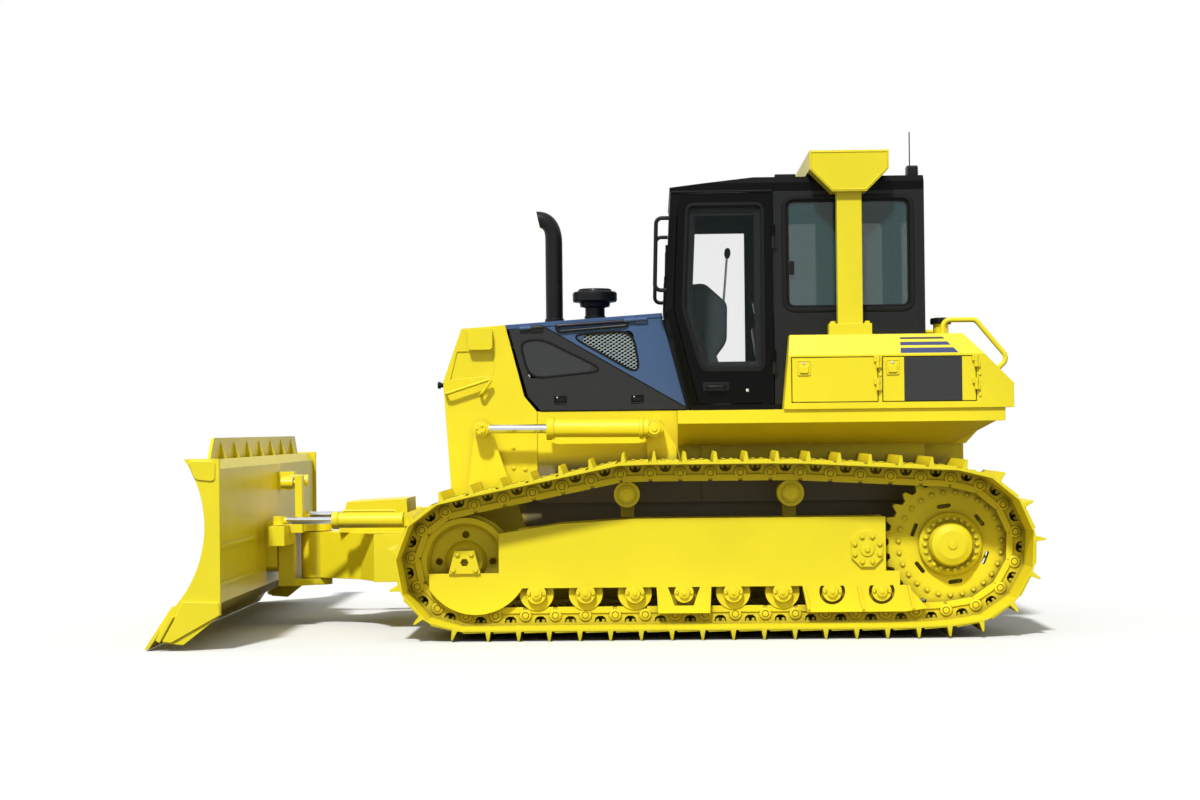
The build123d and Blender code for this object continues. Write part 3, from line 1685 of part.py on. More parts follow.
# Cross member with its tongue and the swivel bore, and a box on top
with BuildPart() as lift_cross_member:
    with BuildSketch(level(frame_bottom)):
        with BuildLine():
            Polyline(
                (cross_x, -arm_in),
                (cross_x, arm_in),
                (cross_x + cross_depth, arm_in),
                (cross_x + cross_depth + 130, tongue_half),
                (swivel_x - 40, swivel_r),
                (swivel_x - 40, -swivel_r),
                (cross_x + cross_depth + 130, -tongue_half),
                (cross_x + cross_depth, -arm_in),
                close=True,
            )
        make_face()
        with Locations((swivel_x, 0)):
            Circle(swivel_r)
            Circle(swivel_pin_r + fit, mode=Mode.SUBTRACT)
    extrude(amount=frame_top - frame_bottom)
    with BuildSketch(side(crown_half)):
        with BuildLine():
            Polyline(
                (cross_x + 10, frame_top),
                (cross_x + 20, crown_top),
                (cross_x + 440, crown_top - 20),
                (cross_x + 500, frame_top),
                close=True,
            )
        make_face()
    extrude(amount=2 * crown_half)
lift_cross_member.part.label = "lift_cross_member"
export_step(lift_cross_member.part, "parts/lift_cross_member.step")

# Blade carrier: a fork on the swivel pin, a cross beam for the angle rods, the tilt
# boss at the front and the post that carries the tilt cylinder
fork_top = frame_top + gap
fork_bottom = frame_bottom - gap
beam_x = swivel_x + swivel_r + 20
post_front = tilt_cyl_x - tilt_barrel_r - 10
lug_top = angle_z - 36
with BuildPart() as angle_yoke:
    for z in (fork_top, fork_bottom - yoke_plate):
        with BuildSketch(level(z)):
            with Locations((swivel_x, 0)):
                Circle(swivel_r)
            with BuildLine():
                Polyline(
                    (swivel_x, -swivel_r),
                    (beam_x, -200),
                    (yoke_front_x, -200),
                    (yoke_front_x, 200),
                    (beam_x, 200),
                    (swivel_x, swivel_r),
                    close=True,
                )
            make_face()
        extrude(amount=yoke_plate)
    with BuildSketch(level(fork_bottom - yoke_plate)):
        with Locations((swivel_x, 0)):
            Circle(swivel_pin_r)
    extrude(amount=fork_top - fork_bottom + 2 * yoke_plate)
    with BuildSketch(level(fork_bottom)):
        with Locations(((beam_x + yoke_front_x) / 2, 0)):
            Rectangle(yoke_front_x - beam_x, 400)
    extrude(amount=fork_top - fork_bottom)
    with BuildSketch(level(fork_top - 80)):
        with Locations(((beam_x + yoke_front_x) / 2, 0)):
            Rectangle(yoke_front_x - beam_x, 2 * yoke_half)
    extrude(amount=lug_top - fork_top + 80)
    with BuildSketch(level(fork_top)):
        with BuildLine():
            Polyline(
                (post_front - 50, tilt_post_y - 45),
                (post_front - 50, tilt_post_y + 45),
                (beam_x, tilt_post_y + 45),
                (beam_x, tilt_post_y - 45),
                close=True,
            )
        make_face()
    extrude(amount=lug_top - fork_top)
    with BuildSketch(level(fork_top)):
        with Locations((post_front - 25, tilt_post_y)):
            Rectangle(50, 90)
    extrude(amount=tilt_cyl_z + 50 - fork_top)
    with BuildSketch(across(post_front - 20)):
        with Locations((tilt_post_y, tilt_cyl_z)):
            Circle(tilt_pin_r)
    extrude(amount=tilt_cyl_x + 44 - post_front + 20)
    with BuildSketch(across(yoke_front_x - 20)):
        with Locations((0, tilt_z)):
            Circle(tilt_boss_r)
    extrude(amount=blade_back_x - yoke_front_x + 20 - gap)
angle_yoke.part.label = "angle_yoke"
export_step(angle_yoke.part, "parts/angle_yoke.step")

# Blade: a curved box-section moldboard with end plates and ribs behind, the ring round
# the tilt boss and the bracket for the tilt rod
bracket_x = tilt_cyl_x + 44 + 8
with BuildPart() as moldboard:
    with BuildSketch(side(blade_half - end_plate)):
        with BuildLine():
            ThreePointArc(
                (blade_lip_x, blade_top_z),
                (blade_deep_x, blade_deep_z),
                (blade_heel_x, blade_heel_z),
            )
            Polyline(
                (blade_heel_x, blade_heel_z),
                (blade_heel_x + 56, blade_heel_z - 84),
                (blade_heel_x - 40, blade_heel_z - 116),
                (blade_back_x, blade_heel_z + 30),
                (blade_back_x, blade_top_z - 60),
                (blade_back_x + 40, blade_top_z),
                (blade_lip_x, blade_top_z),
            )
        make_face()
    extrude(amount=2 * (blade_half - end_plate))
    for z in blade_rib_zs:
        for rib_face in (blade_half - end_plate, -blade_rib_in):
            with BuildSketch(side(rib_face)):
                with Locations((blade_back_x, z)):
                    Rectangle(2 * blade_rib, blade_rib)
            extrude(amount=blade_half - end_plate - blade_rib_in)
    for plate_face in (blade_half, -blade_half + end_plate):
        with BuildSketch(side(plate_face)):
            with BuildLine():
                ThreePointArc(
                    (blade_lip_x + 14, blade_top_z + 6),
                    (blade_deep_x + 14, blade_deep_z),
                    (blade_heel_x + 14, blade_heel_z),
                )
                Polyline(
                    (blade_heel_x + 14, blade_heel_z),
                    (edge_tip_x - 100, edge_tip_z + 122),
                    (edge_tip_x - 120, edge_tip_z + 40),
                    (edge_tip_x - 250, edge_tip_z + 30),
                    (blade_back_x - 22, blade_heel_z - 40),
                    (blade_back_x - 22, blade_top_z + 6),
                    (blade_lip_x + 14, blade_top_z + 6),
                )
            make_face()
        extrude(amount=end_plate)
    with BuildSketch(across(blade_back_x + 10)):
        with Locations((0, tilt_z)):
            RectangleRounded(460, 360, 60)
            Circle(tilt_boss_r + fit, mode=Mode.SUBTRACT)
    extrude(amount=yoke_front_x + gap - blade_back_x - 10)
    with BuildSketch(across(blade_back_x + 10)):
        with Locations((tilt_eye_y, tilt_cyl_z)):
            Rectangle(120, 130)
    extrude(amount=bracket_x - blade_back_x - 10)
moldboard.part.label = "moldboard"
export_step(moldboard.part, "parts/moldboard.step")

# Cutting edge bolted along the blade's lower front
with BuildPart() as cutting_edge:
    with BuildSketch(side(blade_half - end_plate)):
        with BuildLine():
            Polyline(
                (blade_heel_x, blade_heel_z),
                (blade_heel_x + 56, blade_heel_z - 84),
                (edge_tip_x - 24, edge_tip_z),
                (edge_tip_x, edge_tip_z),
                (edge_tip_x - 6, edge_tip_z + 14),
                (blade_heel_x + 24, blade_heel_z + 14),
                close=True,
            )
        make_face()
    extrude(amount=2 * (blade_half - end_plate))
cutting_edge.part.label = "cutting_edge"
export_step(cutting_edge.part, "parts/cutting_edge.step")

# Spill guard along the blade's top with gussets behind it
guard_x = blade_lip_x - 100
with BuildPart() as spill_guard:
    with BuildSketch(across(guard_x)):
        with BuildLine():
            Polyline(
                (-guard_half - 130, blade_top_z),
                (-guard_half, guard_top_z),
                (guard_half, guard_top_z),
                (guard_half + 130, blade_top_z),
                close=True,
            )
        make_face()
    extrude(amount=guard_plate)
    for i in range(gusset_count):
        y = (i - (gusset_count - 1) / 2) * gusset_step
        with BuildSketch(side(y + gusset / 2)):
            with BuildLine():
                Polyline(
                    (guard_x, blade_top_z),
                    (guard_x, guard_top_z - 20),
                    (guard_x - 40, blade_top_z),
                    close=True,
                )
            make_face()
        extrude(amount=gusset)
spill_guard.part.label = "spill_guard"
export_step(spill_guard.part, "parts/spill_guard.step")

# Lift cylinders: a barrel hung on the hull's pin and a rod to the arm's tower
lift_reach = math.hypot(tower_x - barrel_x, tower_z - barrel_z)
lift_aim = Vector((tower_x - barrel_x) / lift_reach, 0, (tower_z - barrel_z) / lift_reach)


def lift_plane(along):
    start = Vector(mid_x + barrel_x, lift_cyl_y, barrel_z) + lift_aim * along
    return Plane(start, x_dir=(0, 1, 0), z_dir=lift_aim)


barrel_run = lift_barrel_end - barrel_x
with BuildPart() as lift_barrel_left:
    with BuildSketch(lift_plane(40)):
        Circle(lift_barrel_r)
    extrude(amount=barrel_run - 40)
    with BuildSketch(lift_plane(110)):
        Circle(lift_rod_r + fit)
    extrude(amount=barrel_run - 110, mode=Mode.SUBTRACT)
    with BuildSketch(side(lift_cyl_y + 40)):
        with BuildLine():
            Polyline(
                (barrel_x + 64, barrel_z - lift_barrel_r + 20),
                (lift_barrel_end - 34, barrel_z - lift_barrel_r + 20),
                (lift_barrel_end - 34, barrel_z - lift_barrel_r - 12),
                (lift_barrel_end - 60, barrel_z - lift_barrel_r - 30),
                (barrel_x + 100, barrel_z - lift_barrel_r - 30),
                (barrel_x + 64, barrel_z - lift_barrel_r - 12),
                close=True,
            )
        make_face()
    extrude(amount=80)
    with BuildSketch(side(lift_cyl_y + eye_half)):
        with Locations((barrel_x, barrel_z)):
            Circle(lift_eye_r)
    extrude(amount=2 * eye_half)
    with BuildSketch(side(lift_cyl_y + lift_barrel_r + 1)):
        with Locations((barrel_x, barrel_z)):
            Circle(barrel_pin_r + fit)
    extrude(amount=2 * lift_barrel_r + 2, mode=Mode.SUBTRACT)
lift_barrel_left.part.label = "lift_barrel_left"
export_step(lift_barrel_left.part, "parts/lift_barrel_left.step")

with BuildPart() as lift_barrel_right:
    mirror(lift_barrel_left.part, about=Plane.XZ)
lift_barrel_right.part.label = "lift_barrel_right"
export_step(lift_barrel_right.part, "parts/lift_barrel_right.step")

with BuildPart() as lift_rod_left:
    with BuildSketch(lift_plane(lift_rod_tail - barrel_x)):
        Circle(lift_rod_r)
    extrude(amount=lift_reach - lift_rod_tail + barrel_x - 20)
    with BuildSketch(side(lift_cyl_y + eye_half)):
        with Locations((tower_x, tower_z)):
            Circle(lift_eye_r - 6)
    extrude(amount=2 * eye_half)
lift_rod_left.part.label = "lift_rod_left"
export_step(lift_rod_left.part, "parts/lift_rod_left.step")

with BuildPart() as lift_rod_right:
    mirror(lift_rod_left.part, about=Plane.XZ)
lift_rod_right.part.label = "lift_rod_right"
export_step(lift_rod_right.part, "parts/lift_rod_right.step")

# Angle cylinders: barrels on the arms' stubs, rods over the carrier's beam ends
angle_reach = math.hypot(angle_x - angle_tail_x, angle_y - angle_tail_y)
angle_aim = Vector((angle_x - angle_tail_x) / angle_reach, (angle_y - angle_tail_y) / angle_reach, 0)


def angle_plane(along):
    start = Vector(mid_x + angle_tail_x, angle_tail_y, angle_z) + angle_aim * along
    return Plane(start, x_dir=(0, 0, 1), z_dir=angle_aim)


angle_run = angle_barrel_end - angle_tail_x
with BuildPart() as angle_barrel_left:
    with BuildSketch(angle_plane(36)):
        Circle(angle_barrel_r)
    extrude(amount=angle_run - 36)
    with BuildSketch(angle_plane(62)):
        Circle(angle_rod_r + fit)
    extrude(amount=angle_run - 62, mode=Mode.SUBTRACT)
    with BuildSketch(level(angle_z - 40)):
        with Locations((angle_tail_x, angle_tail_y)):
            Circle(angle_eye_r)
    extrude(amount=80)
    with BuildSketch(level(angle_z - 60)):
        with Locations((angle_tail_x, angle_tail_y)):
            Circle(angle_pin_r + fit)
    extrude(amount=120, mode=Mode.SUBTRACT)
angle_barrel_left.part.label = "angle_barrel_left"
export_step(angle_barrel_left.part, "parts/angle_barrel_left.step")

with BuildPart() as angle_barrel_right:
    mirror(angle_barrel_left.part, about=Plane.XZ)
angle_barrel_right.part.label = "angle_barrel_right"
export_step(angle_barrel_right.part, "parts/angle_barrel_right.step")

with BuildPart() as angle_rod_left:
    with BuildSketch(angle_plane(angle_rod_tail - angle_tail_x)):
        Circle(angle_rod_r)
    extrude(amount=angle_reach - angle_rod_tail + angle_tail_x - 10)
    with BuildSketch(level(angle_z - angle_eye_half)):
        with Locations((angle_x, angle_y)):
            Circle(angle_eye_r)
    extrude(amount=2 * angle_eye_half)
angle_rod_left.part.label = "angle_rod_left"
export_step(angle_rod_left.part, "parts/angle_rod_left.step")

with BuildPart() as angle_rod_right:
    mirror(angle_rod_left.part, about=Plane.XZ)
angle_rod_right.part.label = "angle_rod_right"
export_step(angle_rod_right.part, "parts/angle_rod_right.step")

# Tilt cylinder across the carrier, from its post to the blade's bracket
with BuildPart() as tilt_barrel:
    with BuildSketch(side(tilt_post_y - 36)):
        with Locations((tilt_cyl_x, tilt_cyl_z)):
            Circle(tilt_barrel_r)
    extrude(amount=360)
    with BuildSketch(side(tilt_post_y - 76)):
        with Locations((tilt_cyl_x, tilt_cyl_z)):
            Circle(tilt_rod_r + fit)
    extrude(amount=330, mode=Mode.SUBTRACT)
    with BuildSketch(across(tilt_cyl_x - 42)):
        with Locations((tilt_post_y, tilt_cyl_z)):
            Circle(tilt_eye_r)
    extrude(amount=84)
    with BuildSketch(across(tilt_cyl_x - 60)):
        with Locations((tilt_post_y, tilt_cyl_z)):
            Circle(tilt_pin_r + fit)
    extrude(amount=120, mode=Mode.SUBTRACT)
tilt_barrel.part.label = "tilt_barrel"
export_step(tilt_barrel.part, "parts/tilt_barrel.step")

with BuildPart() as tilt_rod:
    with BuildSketch(side(tilt_post_y - 270)):
        with Locations((tilt_cyl_x, tilt_cyl_z)):
            Circle(tilt_rod_r)
    extrude(amount=tilt_post_y - 270 - tilt_eye_y - 10)
    with BuildSketch(across(tilt_cyl_x - 42)):
        with Locations((tilt_eye_y, tilt_cyl_z)):
            Circle(tilt_eye_r)
    extrude(amount=84)
tilt_rod.part.label = "tilt_rod"
export_step(tilt_rod.part, "parts/tilt_rod.step")
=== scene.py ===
import bpy
import bmesh
import math
import numpy as np
from mathutils import Matrix, Vector


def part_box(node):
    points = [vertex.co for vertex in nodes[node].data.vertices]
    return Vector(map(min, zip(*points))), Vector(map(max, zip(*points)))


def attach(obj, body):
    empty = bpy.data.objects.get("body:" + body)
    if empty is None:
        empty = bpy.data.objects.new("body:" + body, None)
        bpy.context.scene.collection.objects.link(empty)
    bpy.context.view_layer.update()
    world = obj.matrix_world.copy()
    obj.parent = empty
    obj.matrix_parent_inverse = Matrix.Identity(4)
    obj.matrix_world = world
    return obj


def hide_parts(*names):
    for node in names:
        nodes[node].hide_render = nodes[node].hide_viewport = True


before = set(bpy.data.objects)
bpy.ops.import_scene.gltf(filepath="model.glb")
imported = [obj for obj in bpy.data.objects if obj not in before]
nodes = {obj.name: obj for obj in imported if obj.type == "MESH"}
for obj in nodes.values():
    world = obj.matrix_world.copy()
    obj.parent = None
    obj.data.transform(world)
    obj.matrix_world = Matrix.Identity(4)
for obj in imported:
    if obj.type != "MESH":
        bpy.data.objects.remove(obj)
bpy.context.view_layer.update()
midX = -0.684  # middle of the tracks' ground run, stations are counted from it
tau = 2 * math.pi
print("frame:", len(nodes), "nodes")


# shader maths

class Sock:
    # wraps a socket, so that an expression on values adds its Math nodes
    def __init__(self, owner, socket):
        self.owner = owner
        self.socket = socket

    def math(self, operation, *others):
        return self.owner.node("Math", {"operation": operation}, dict(enumerate((self, *others))))

    def __add__(self, other):
        return self.math("ADD", other)

    __radd__ = __add__

    def __sub__(self, other):
        return self.math("SUBTRACT", other)

    def __rsub__(self, other):
        return self.owner.node("Math", {"operation": "SUBTRACT"}, {0: other, 1: self})

    def __mul__(self, other):
        return self.math("MULTIPLY", other)

    def __neg__(self):
        return self * -1.0

    def smooth(self, low, high):
        # 0 below low, 1 above high, an S curve between
        feeds = {"Value": self, "From Min": low, "From Max": high}
        return self.owner.node("MapRange", {"interpolation_type": "SMOOTHSTEP"}, feeds)

    def over(self, level, blur=0.0008):
        return self.smooth(level - blur, level + blur)

    def within(self, low, high):
        return self.over(low) * (1.0 - self.over(high))


class Tree:
    # a node tree, emptied, and a way to add nodes to it
    def __init__(self, tree):
        self.tree = tree
        tree.nodes.clear()

    def node(self, kind, settings=None, feeds=None, out=0):
        made = self.tree.nodes.new("ShaderNode" + kind)
        for key, value in (settings or {}).items():
            setattr(made, key, value)
        for key, value in (feeds or {}).items():
            self.feed(made.inputs[key], value)
        return Sock(self, made.outputs[out]) if made.outputs else None

    def feed(self, socket, value):
        if isinstance(value, Sock):
            self.tree.links.new(value.socket, socket)
        else:
            socket.default_value = value

    def shown(self):
        # 1 for rays that the picture shows, straight, by a mirror or through a pane
        rays = self.node("LightPath", out="Is Camera Ray")
        for kind in ("Is Glossy Ray", "Is Transmission Ray"):
            rays = rays.math("MAXIMUM", self.node("LightPath", out=kind))
        return rays


class Finish(Tree):
    # one material: a shader and Object coordinates
    def __init__(self, name, slot):
        self.mat = bpy.data.materials.new(name)
        self.mat.use_nodes = True
        super().__init__(self.mat.node_tree)
        self.slot = slot
        self.out = self.tree.nodes.new("ShaderNodeOutputMaterial")
        self.shader = self.tree.nodes.new("ShaderNodeBsdfPrincipled")
        self.tree.links.new(self.shader.outputs[0], self.out.inputs["Surface"])
        self.place = self.node("TexCoord", out="Object")

    def set(self, **values):
        for key, value in values.items():
            self.feed(self.shader.inputs[key.replace("_", " ")], value)
        return self

    def axis(self, name):
        return self.node("SeparateXYZ", feeds={"Vector": self.place}, out=name)

    def facingDown(self):
        way = self.node("TexCoord", out="Normal")
        return -self.node("SeparateXYZ", feeds={"Vector": way}, out="Z")

    def noise(self, scale, detail=2.0, rough=0.5):
        return self.node("TexNoise", feeds={"Vector": self.place, "Scale": scale, "Detail": detail,
                                            "Roughness": rough})

    def mix(self, factor, first, second):
        return self.node("Mix", {"data_type": "RGBA"}, {0: factor, 6: first, 7: second}, 2)

    def bump(self, height, strength, distance, normal):
        feeds = {"Height": height, "Strength": strength, "Distance": distance, "Normal": normal}
        return self.node("Bump", feeds=feeds)

    def rounded(self, radius):
        # a normal that turns softly over each edge, and how much it has turned
        soft = self.node("Bevel", {"samples": 4}, {"Radius": radius})
        flat = self.node("NewGeometry", out="Normal")
        dot = self.node("VectorMath", {"operation": "DOT_PRODUCT"}, {0: soft, 1: flat}, out="Value")
        return soft, 1.0 - dot

    def hollow(self, distance):
        # 1 in corners and crevices, 0 in the open
        clear = self.node("AmbientOcclusion", {"samples": 4}, {"Distance": distance}, out="AO")
        return 1.0 - clear.smooth(0.25, 0.85)


def rgb(red, green, blue):
    # a colour written as it looks, 0 to 255, as a linear one
    part = np.array([red, green, blue]) / 255
    linear = np.where(part <= 0.04045, part / 12.92, ((part + 0.055) / 1.055) ** 2.4)
    return (*linear.tolist(), 1.0)


def shade(colour, by):
    return (*(min(1.0, part * by) for part in colour[:3]), 1.0)


yellow = rgb(249, 231, 40)
charcoal = rgb(48, 49, 51)
steelBlue = rgb(72, 98, 140)
navy = rgb(42, 58, 110)
black = rgb(19, 20, 22)
# brown for dust and mud, also the colour of painted shade in corners and under slopes
mudAndShade = rgb(92, 72, 38)
bareSteel = rgb(128, 122, 112)


broadNoise = (1.7, 4.0)


def faded(finish, colour):
    patches = finish.noise(*broadNoise).smooth(0.3, 0.7)
    return finish.mix(patches, shade(colour, 0.955), shade(colour, 1.03))


def paintedFinish(name, slot, colour, look):
    # sprayed paint: broad fading, orange peel, chipped edges, and dust in corners and mud under slopes that
    # also paint the shade falling there
    finish = Finish(name, slot)
    broad = finish.noise(*broadNoise)
    peel = finish.noise(240.0, 1.0)
    speck = finish.noise(38.0, 5.0, 0.7)
    soft, turned = finish.rounded(look["edge"])
    # dust in corners and crevices, found by occlusion, is also painted shade there
    dustAndShade = finish.hollow(look["reach"]) * look["dustAndShade"] * (0.55 + broad * 0.9)
    # mud on faces that point down, which also paints the shade under them
    splashedAndShaded = finish.facingDown().smooth(0.25, 0.65) * look["splashAndShade"] * (0.7 + broad * 0.6)
    dustAndShade = dustAndShade.math("MAXIMUM", splashedAndShaded)
    chipped = turned.smooth(0.06, 0.22) * speck.smooth(0.58 - look["wear"], 0.7) * look["chips"]
    paint = colour(finish) if callable(colour) else faded(finish, colour)
    paint = finish.mix(dustAndShade, paint, look["soilAndShade"])
    paint = finish.mix(chipped, paint, look["under"])
    rough = look["rough"] + speck * 0.1 + dustAndShade * 0.25
    return finish.set(Base_Color=paint, Roughness=rough, Coat_Weight=look["coat"], Coat_Roughness=0.12,
                      Specular_IOR_Level=look["gloss"], Metallic=chipped * 0.6,
                      Normal=finish.bump(peel, 0.05, 0.0006, soft))


bodyLook = {"edge": 0.006, "dustAndShade": 0.3, "reach": 0.1, "splashAndShade": 0.62, "wear": 0.02, "chips": 0.35,
            "rough": 0.36, "coat": 0.07, "gloss": 0.32, "soilAndShade": mudAndShade, "under": rgb(196, 170, 40)}
# the tracks get more of it, reaching further, as painted shade in the chain as well as dirt
trackLook = {"edge": 0.004, "dustAndShade": 0.8, "reach": 0.16, "splashAndShade": 0.35, "wear": 0.1, "chips": 0.6,
             "rough": 0.46, "coat": 0.03, "gloss": 0.28, "soilAndShade": mudAndShade, "under": bareSteel}
darkLook = {"edge": 0.005, "dustAndShade": 0.18, "reach": 0.1, "splashAndShade": 0.0, "wear": 0.0, "chips": 0.25,
            "rough": 0.38, "coat": 0.06, "gloss": 0.18, "soilAndShade": rgb(60, 57, 50), "under": rgb(96, 98, 100)}
cabDoorLook = {**darkLook, "coat": 0.02, "gloss": 0.08}

doorSplit = {"front": (1.125, 2.09), "rear": (0.096, 1.492), "line": 0.01}
boxBands = {"front": -1.301, "ends": -1.684, "slant": 0.95, "low": 1.846,
            "dark": (1.9396, 1.9529), "blue": ((1.898, 1.921), (1.846, 1.881)),
            "panel": (-1.705, -1.321, 1.523, 1.823)}


def doorColour(finish):
    # steel blue above the diagonal, charcoal below it, a dark line between
    (x0, z0), (x1, z1) = doorSplit["front"], doorSplit["rear"]
    run = math.hypot(x1 - x0, z1 - z0)
    across = ((finish.axis("X") - (x0 + midX)) * ((z0 - z1) / run)
              + (finish.axis("Z") - z0) * ((x1 - x0) / run))
    broad = finish.noise(*broadNoise)
    high = finish.mix(broad, shade(steelBlue, 0.94), shade(steelBlue, 1.05))
    low = finish.mix(broad, shade(charcoal, 0.92), shade(charcoal, 1.06))
    half = doorSplit["line"] / 2
    both = finish.mix(1.0 - across.over(-half), low, high)
    return finish.mix(across.within(-half, half), both, shade(black, 0.8))


def boxColour(finish):
    # yellow with three bands cut on a slant behind, and a plain dark field below them
    x, z, y = finish.axis("X") - midX, finish.axis("Z"), finish.axis("Y")
    paint = faded(finish, yellow)
    outside = y.math("ABSOLUTE").over(0.95, 0.004)
    rear = x - (z - boxBands["low"]) * boxBands["slant"]
    span = x.within(boxBands["ends"] - 0.4, boxBands["front"]) * rear.over(boxBands["ends"]) * outside
    for low, high in boxBands["blue"]:
        paint = finish.mix(z.within(low, high) * span, paint, navy)
    paint = finish.mix(z.within(*boxBands["dark"]) * span, paint, charcoal)
    x0, x1, z0, z1 = boxBands["panel"]
    return finish.mix(x.within(x0, x1) * z.within(z0, z1) * outside, paint, charcoal)


# painted shade low on the hull between the tracks: where it fades out in height and station, and its colour
hullShade = {"top": (1.08, 1.2), "front": (1.2, 1.36), "rear": (1.55, 1.75), "colour": rgb(136, 124, 88)}


def hullColour(finish):
    # yellow above the tracks and at both ends; on the sides between them, a dull dark colour that is painted
    # shade for the recess behind the tracks
    paint = faded(finish, yellow)
    aboveTracks = finish.axis("Z").smooth(*hullShade["top"])
    ahead = (finish.axis("X") - midX).smooth(*hullShade["front"])
    behind = (midX - finish.axis("X")).smooth(*hullShade["rear"])
    return finish.mix(aboveTracks.math("MAXIMUM", ahead.math("MAXIMUM", behind)), hullShade["colour"], paint)


def plainFinish(name, slot, colour, rough, metal=0.0, grain=0.0, scale=90.0, coat=0.0, gloss=0.5):
    # a moulded or turned surface: slight mottling, and a fine grain as bump
    finish = Finish(name, slot)
    broad = finish.noise(9.0, 3.0)
    fine = finish.noise(scale, 3.0, 0.6)
    soft = finish.rounded(0.003)[0]
    return finish.set(Base_Color=finish.mix(broad, shade(colour, 0.86), shade(colour, 1.1)),
                      Roughness=rough + (fine - 0.5) * 0.18, Metallic=metal, Coat_Weight=coat,
                      Specular_IOR_Level=gloss, Normal=finish.bump(fine, grain, 0.001, soft))


def rodFinish(name, axis, level, way):
    # chrome up to a level along one axis, yellow paint on the eye beyond it
    finish = Finish(name, "chrome_rod")
    painted = (finish.axis(axis) * way).over(level * way, 0.001)
    fine = finish.noise(400.0, 3.0, 0.6)
    soft = finish.rounded(0.003)[0]
    return finish.set(Base_Color=finish.mix(painted, rgb(206, 208, 212), yellow), Metallic=1.0 - painted,
                      Roughness=0.1 + painted * 0.26 + fine * 0.04,
                      Normal=finish.bump(fine, 0.02, 0.0005, soft))


def glassFinish(name, colour, clear):
    # tinted pane: mostly see-through, with a smooth reflecting face
    finish = Finish(name, "glass")
    streak = finish.noise(3.0, 2.0)
    return finish.set(Base_Color=colour, Roughness=0.03 + streak * 0.03, Alpha=clear,
                      Specular_IOR_Level=0.6, Coat_Weight=0.3)


finishes = {
    "yellow": paintedFinish("yellowPaint", "yellow_paint", yellow, bodyLook),
    "track": paintedFinish("trackPaint", "yellow_paint", yellow, trackLook),
    "door": paintedFinish("twoToneDoor", "charcoal_paint", doorColour, darkLook),
    "box": paintedFinish("bandedBox", "yellow_paint", boxColour, bodyLook),
    "hull": paintedFinish("hullPaintedShade", "yellow_paint", hullColour, bodyLook),
    "blue": paintedFinish("steelBluePaint", "charcoal_paint", steelBlue, darkLook),
    "black": paintedFinish("blackPaint", "black_paint", black, darkLook),
    # the cab's black paint in two copies: darker on the base, front, roof and doors as painted shade,
    # lighter on the rear and sides as painted light
    "cabDoor": paintedFinish("cabBlackShaded", "black_paint", shade(black, 0.3), cabDoorLook),
    "cabRear": paintedFinish("cabBlackLit", "black_paint", rgb(27, 29, 30), darkLook),
    "steel": plainFinish("wornSteel", "bare_steel", bareSteel, 0.38, metal=0.9, grain=0.1),
    "liftRod": rodFinish("liftRodChrome", "X", 1.462 + midX, 1),
    "angleRod": rodFinish("angleRodChrome", "X", 2.886 + midX, 1),
    "tiltRod": rodFinish("tiltRodChrome", "Y", -0.262, -1),
    "chrome": plainFinish("chromedRod", "chrome_rod", rgb(214, 216, 220), 0.1, metal=1.0, grain=0.01,
                          scale=400.0),
    "iron": plainFinish("castIron", "iron", rgb(34, 34, 36), 0.62, grain=0.5, scale=160.0, gloss=0.2),
    "rubber": plainFinish("sealRubber", "trim_plastic", rgb(16, 16, 17), 0.66, grain=0.2, scale=300.0,
                          gloss=0.2),
    "plastic": plainFinish("mouldedTrim", "trim_plastic", rgb(58, 66, 68), 0.55, grain=0.35, scale=420.0,
                           gloss=0.25),
    "cloth": plainFinish("seatCloth", "seat_cloth", rgb(40, 42, 46), 0.85, grain=0.6, scale=700.0,
                         gloss=0.2),
    "glass": glassFinish("tintedPane", rgb(42, 80, 82), 0.54),
    "clear": glassFinish("clearPane", rgb(70, 86, 88), 0.05),
    "red": plainFinish("redLens", "glass", rgb(150, 22, 20), 0.12, grain=0.3, scale=60.0, coat=0.8),
    "wire": plainFinish("galvanisedWire", "bare_steel", rgb(150, 162, 166), 0.45, metal=0.3, grain=0.1,
                        scale=300.0),
    "smoke": glassFinish("smokedPane", rgb(30, 34, 36), 0.82),
    "lens": plainFinish("lampLens", "glass", rgb(226, 230, 232), 0.08, grain=0.3, scale=60.0, coat=0.8),
}

nodeFinish = {
    "track": "track_left track_right track_rollers carrier_rollers idlers sprockets",
    "door": "engine_door_left engine_door_right",
    "box": "side_box_left side_box_right box_door_front box_door_rear",
    "blue": "hood_top",
    "hull": "main_frame cross_shafts",
    "black": "exhaust_stack air_precleaner grab_rails aerial front_grille",
    "cabDoor": "cab_base cab_front cab_roof cab_door_left cab_door_right",
    "cabRear": "cab_rear cab_sides",
    "liftRod": "lift_rod_left lift_rod_right",
    "angleRod": "angle_rod_left angle_rod_right",
    "tiltRod": "tilt_rod",
    "iron": "engine_block radiator_core",
    "plastic": "operator_console",
    "cloth": "operator_seat",
    "glass": "cab_glass",
    "clear": "door_glass_left door_glass_right",
}
chosen = {node: key for key, names in nodeFinish.items() for node in names.split()}
for name, obj in nodes.items():
    obj.data.materials.clear()
    obj.data.materials.append(finishes[chosen.get(name, "yellow")].mat)
print("finishes:", len(finishes))


# camera, light and floor

viewpoint = {"place": (-0.337, 15.28, 1.365), "yaw": 1.413, "pitch": 0.767, "roll": -0.607, "lens": 64.31}


def addObject(name, data):
    obj = bpy.data.objects.new(name, data)
    bpy.context.scene.collection.objects.link(obj)
    return obj


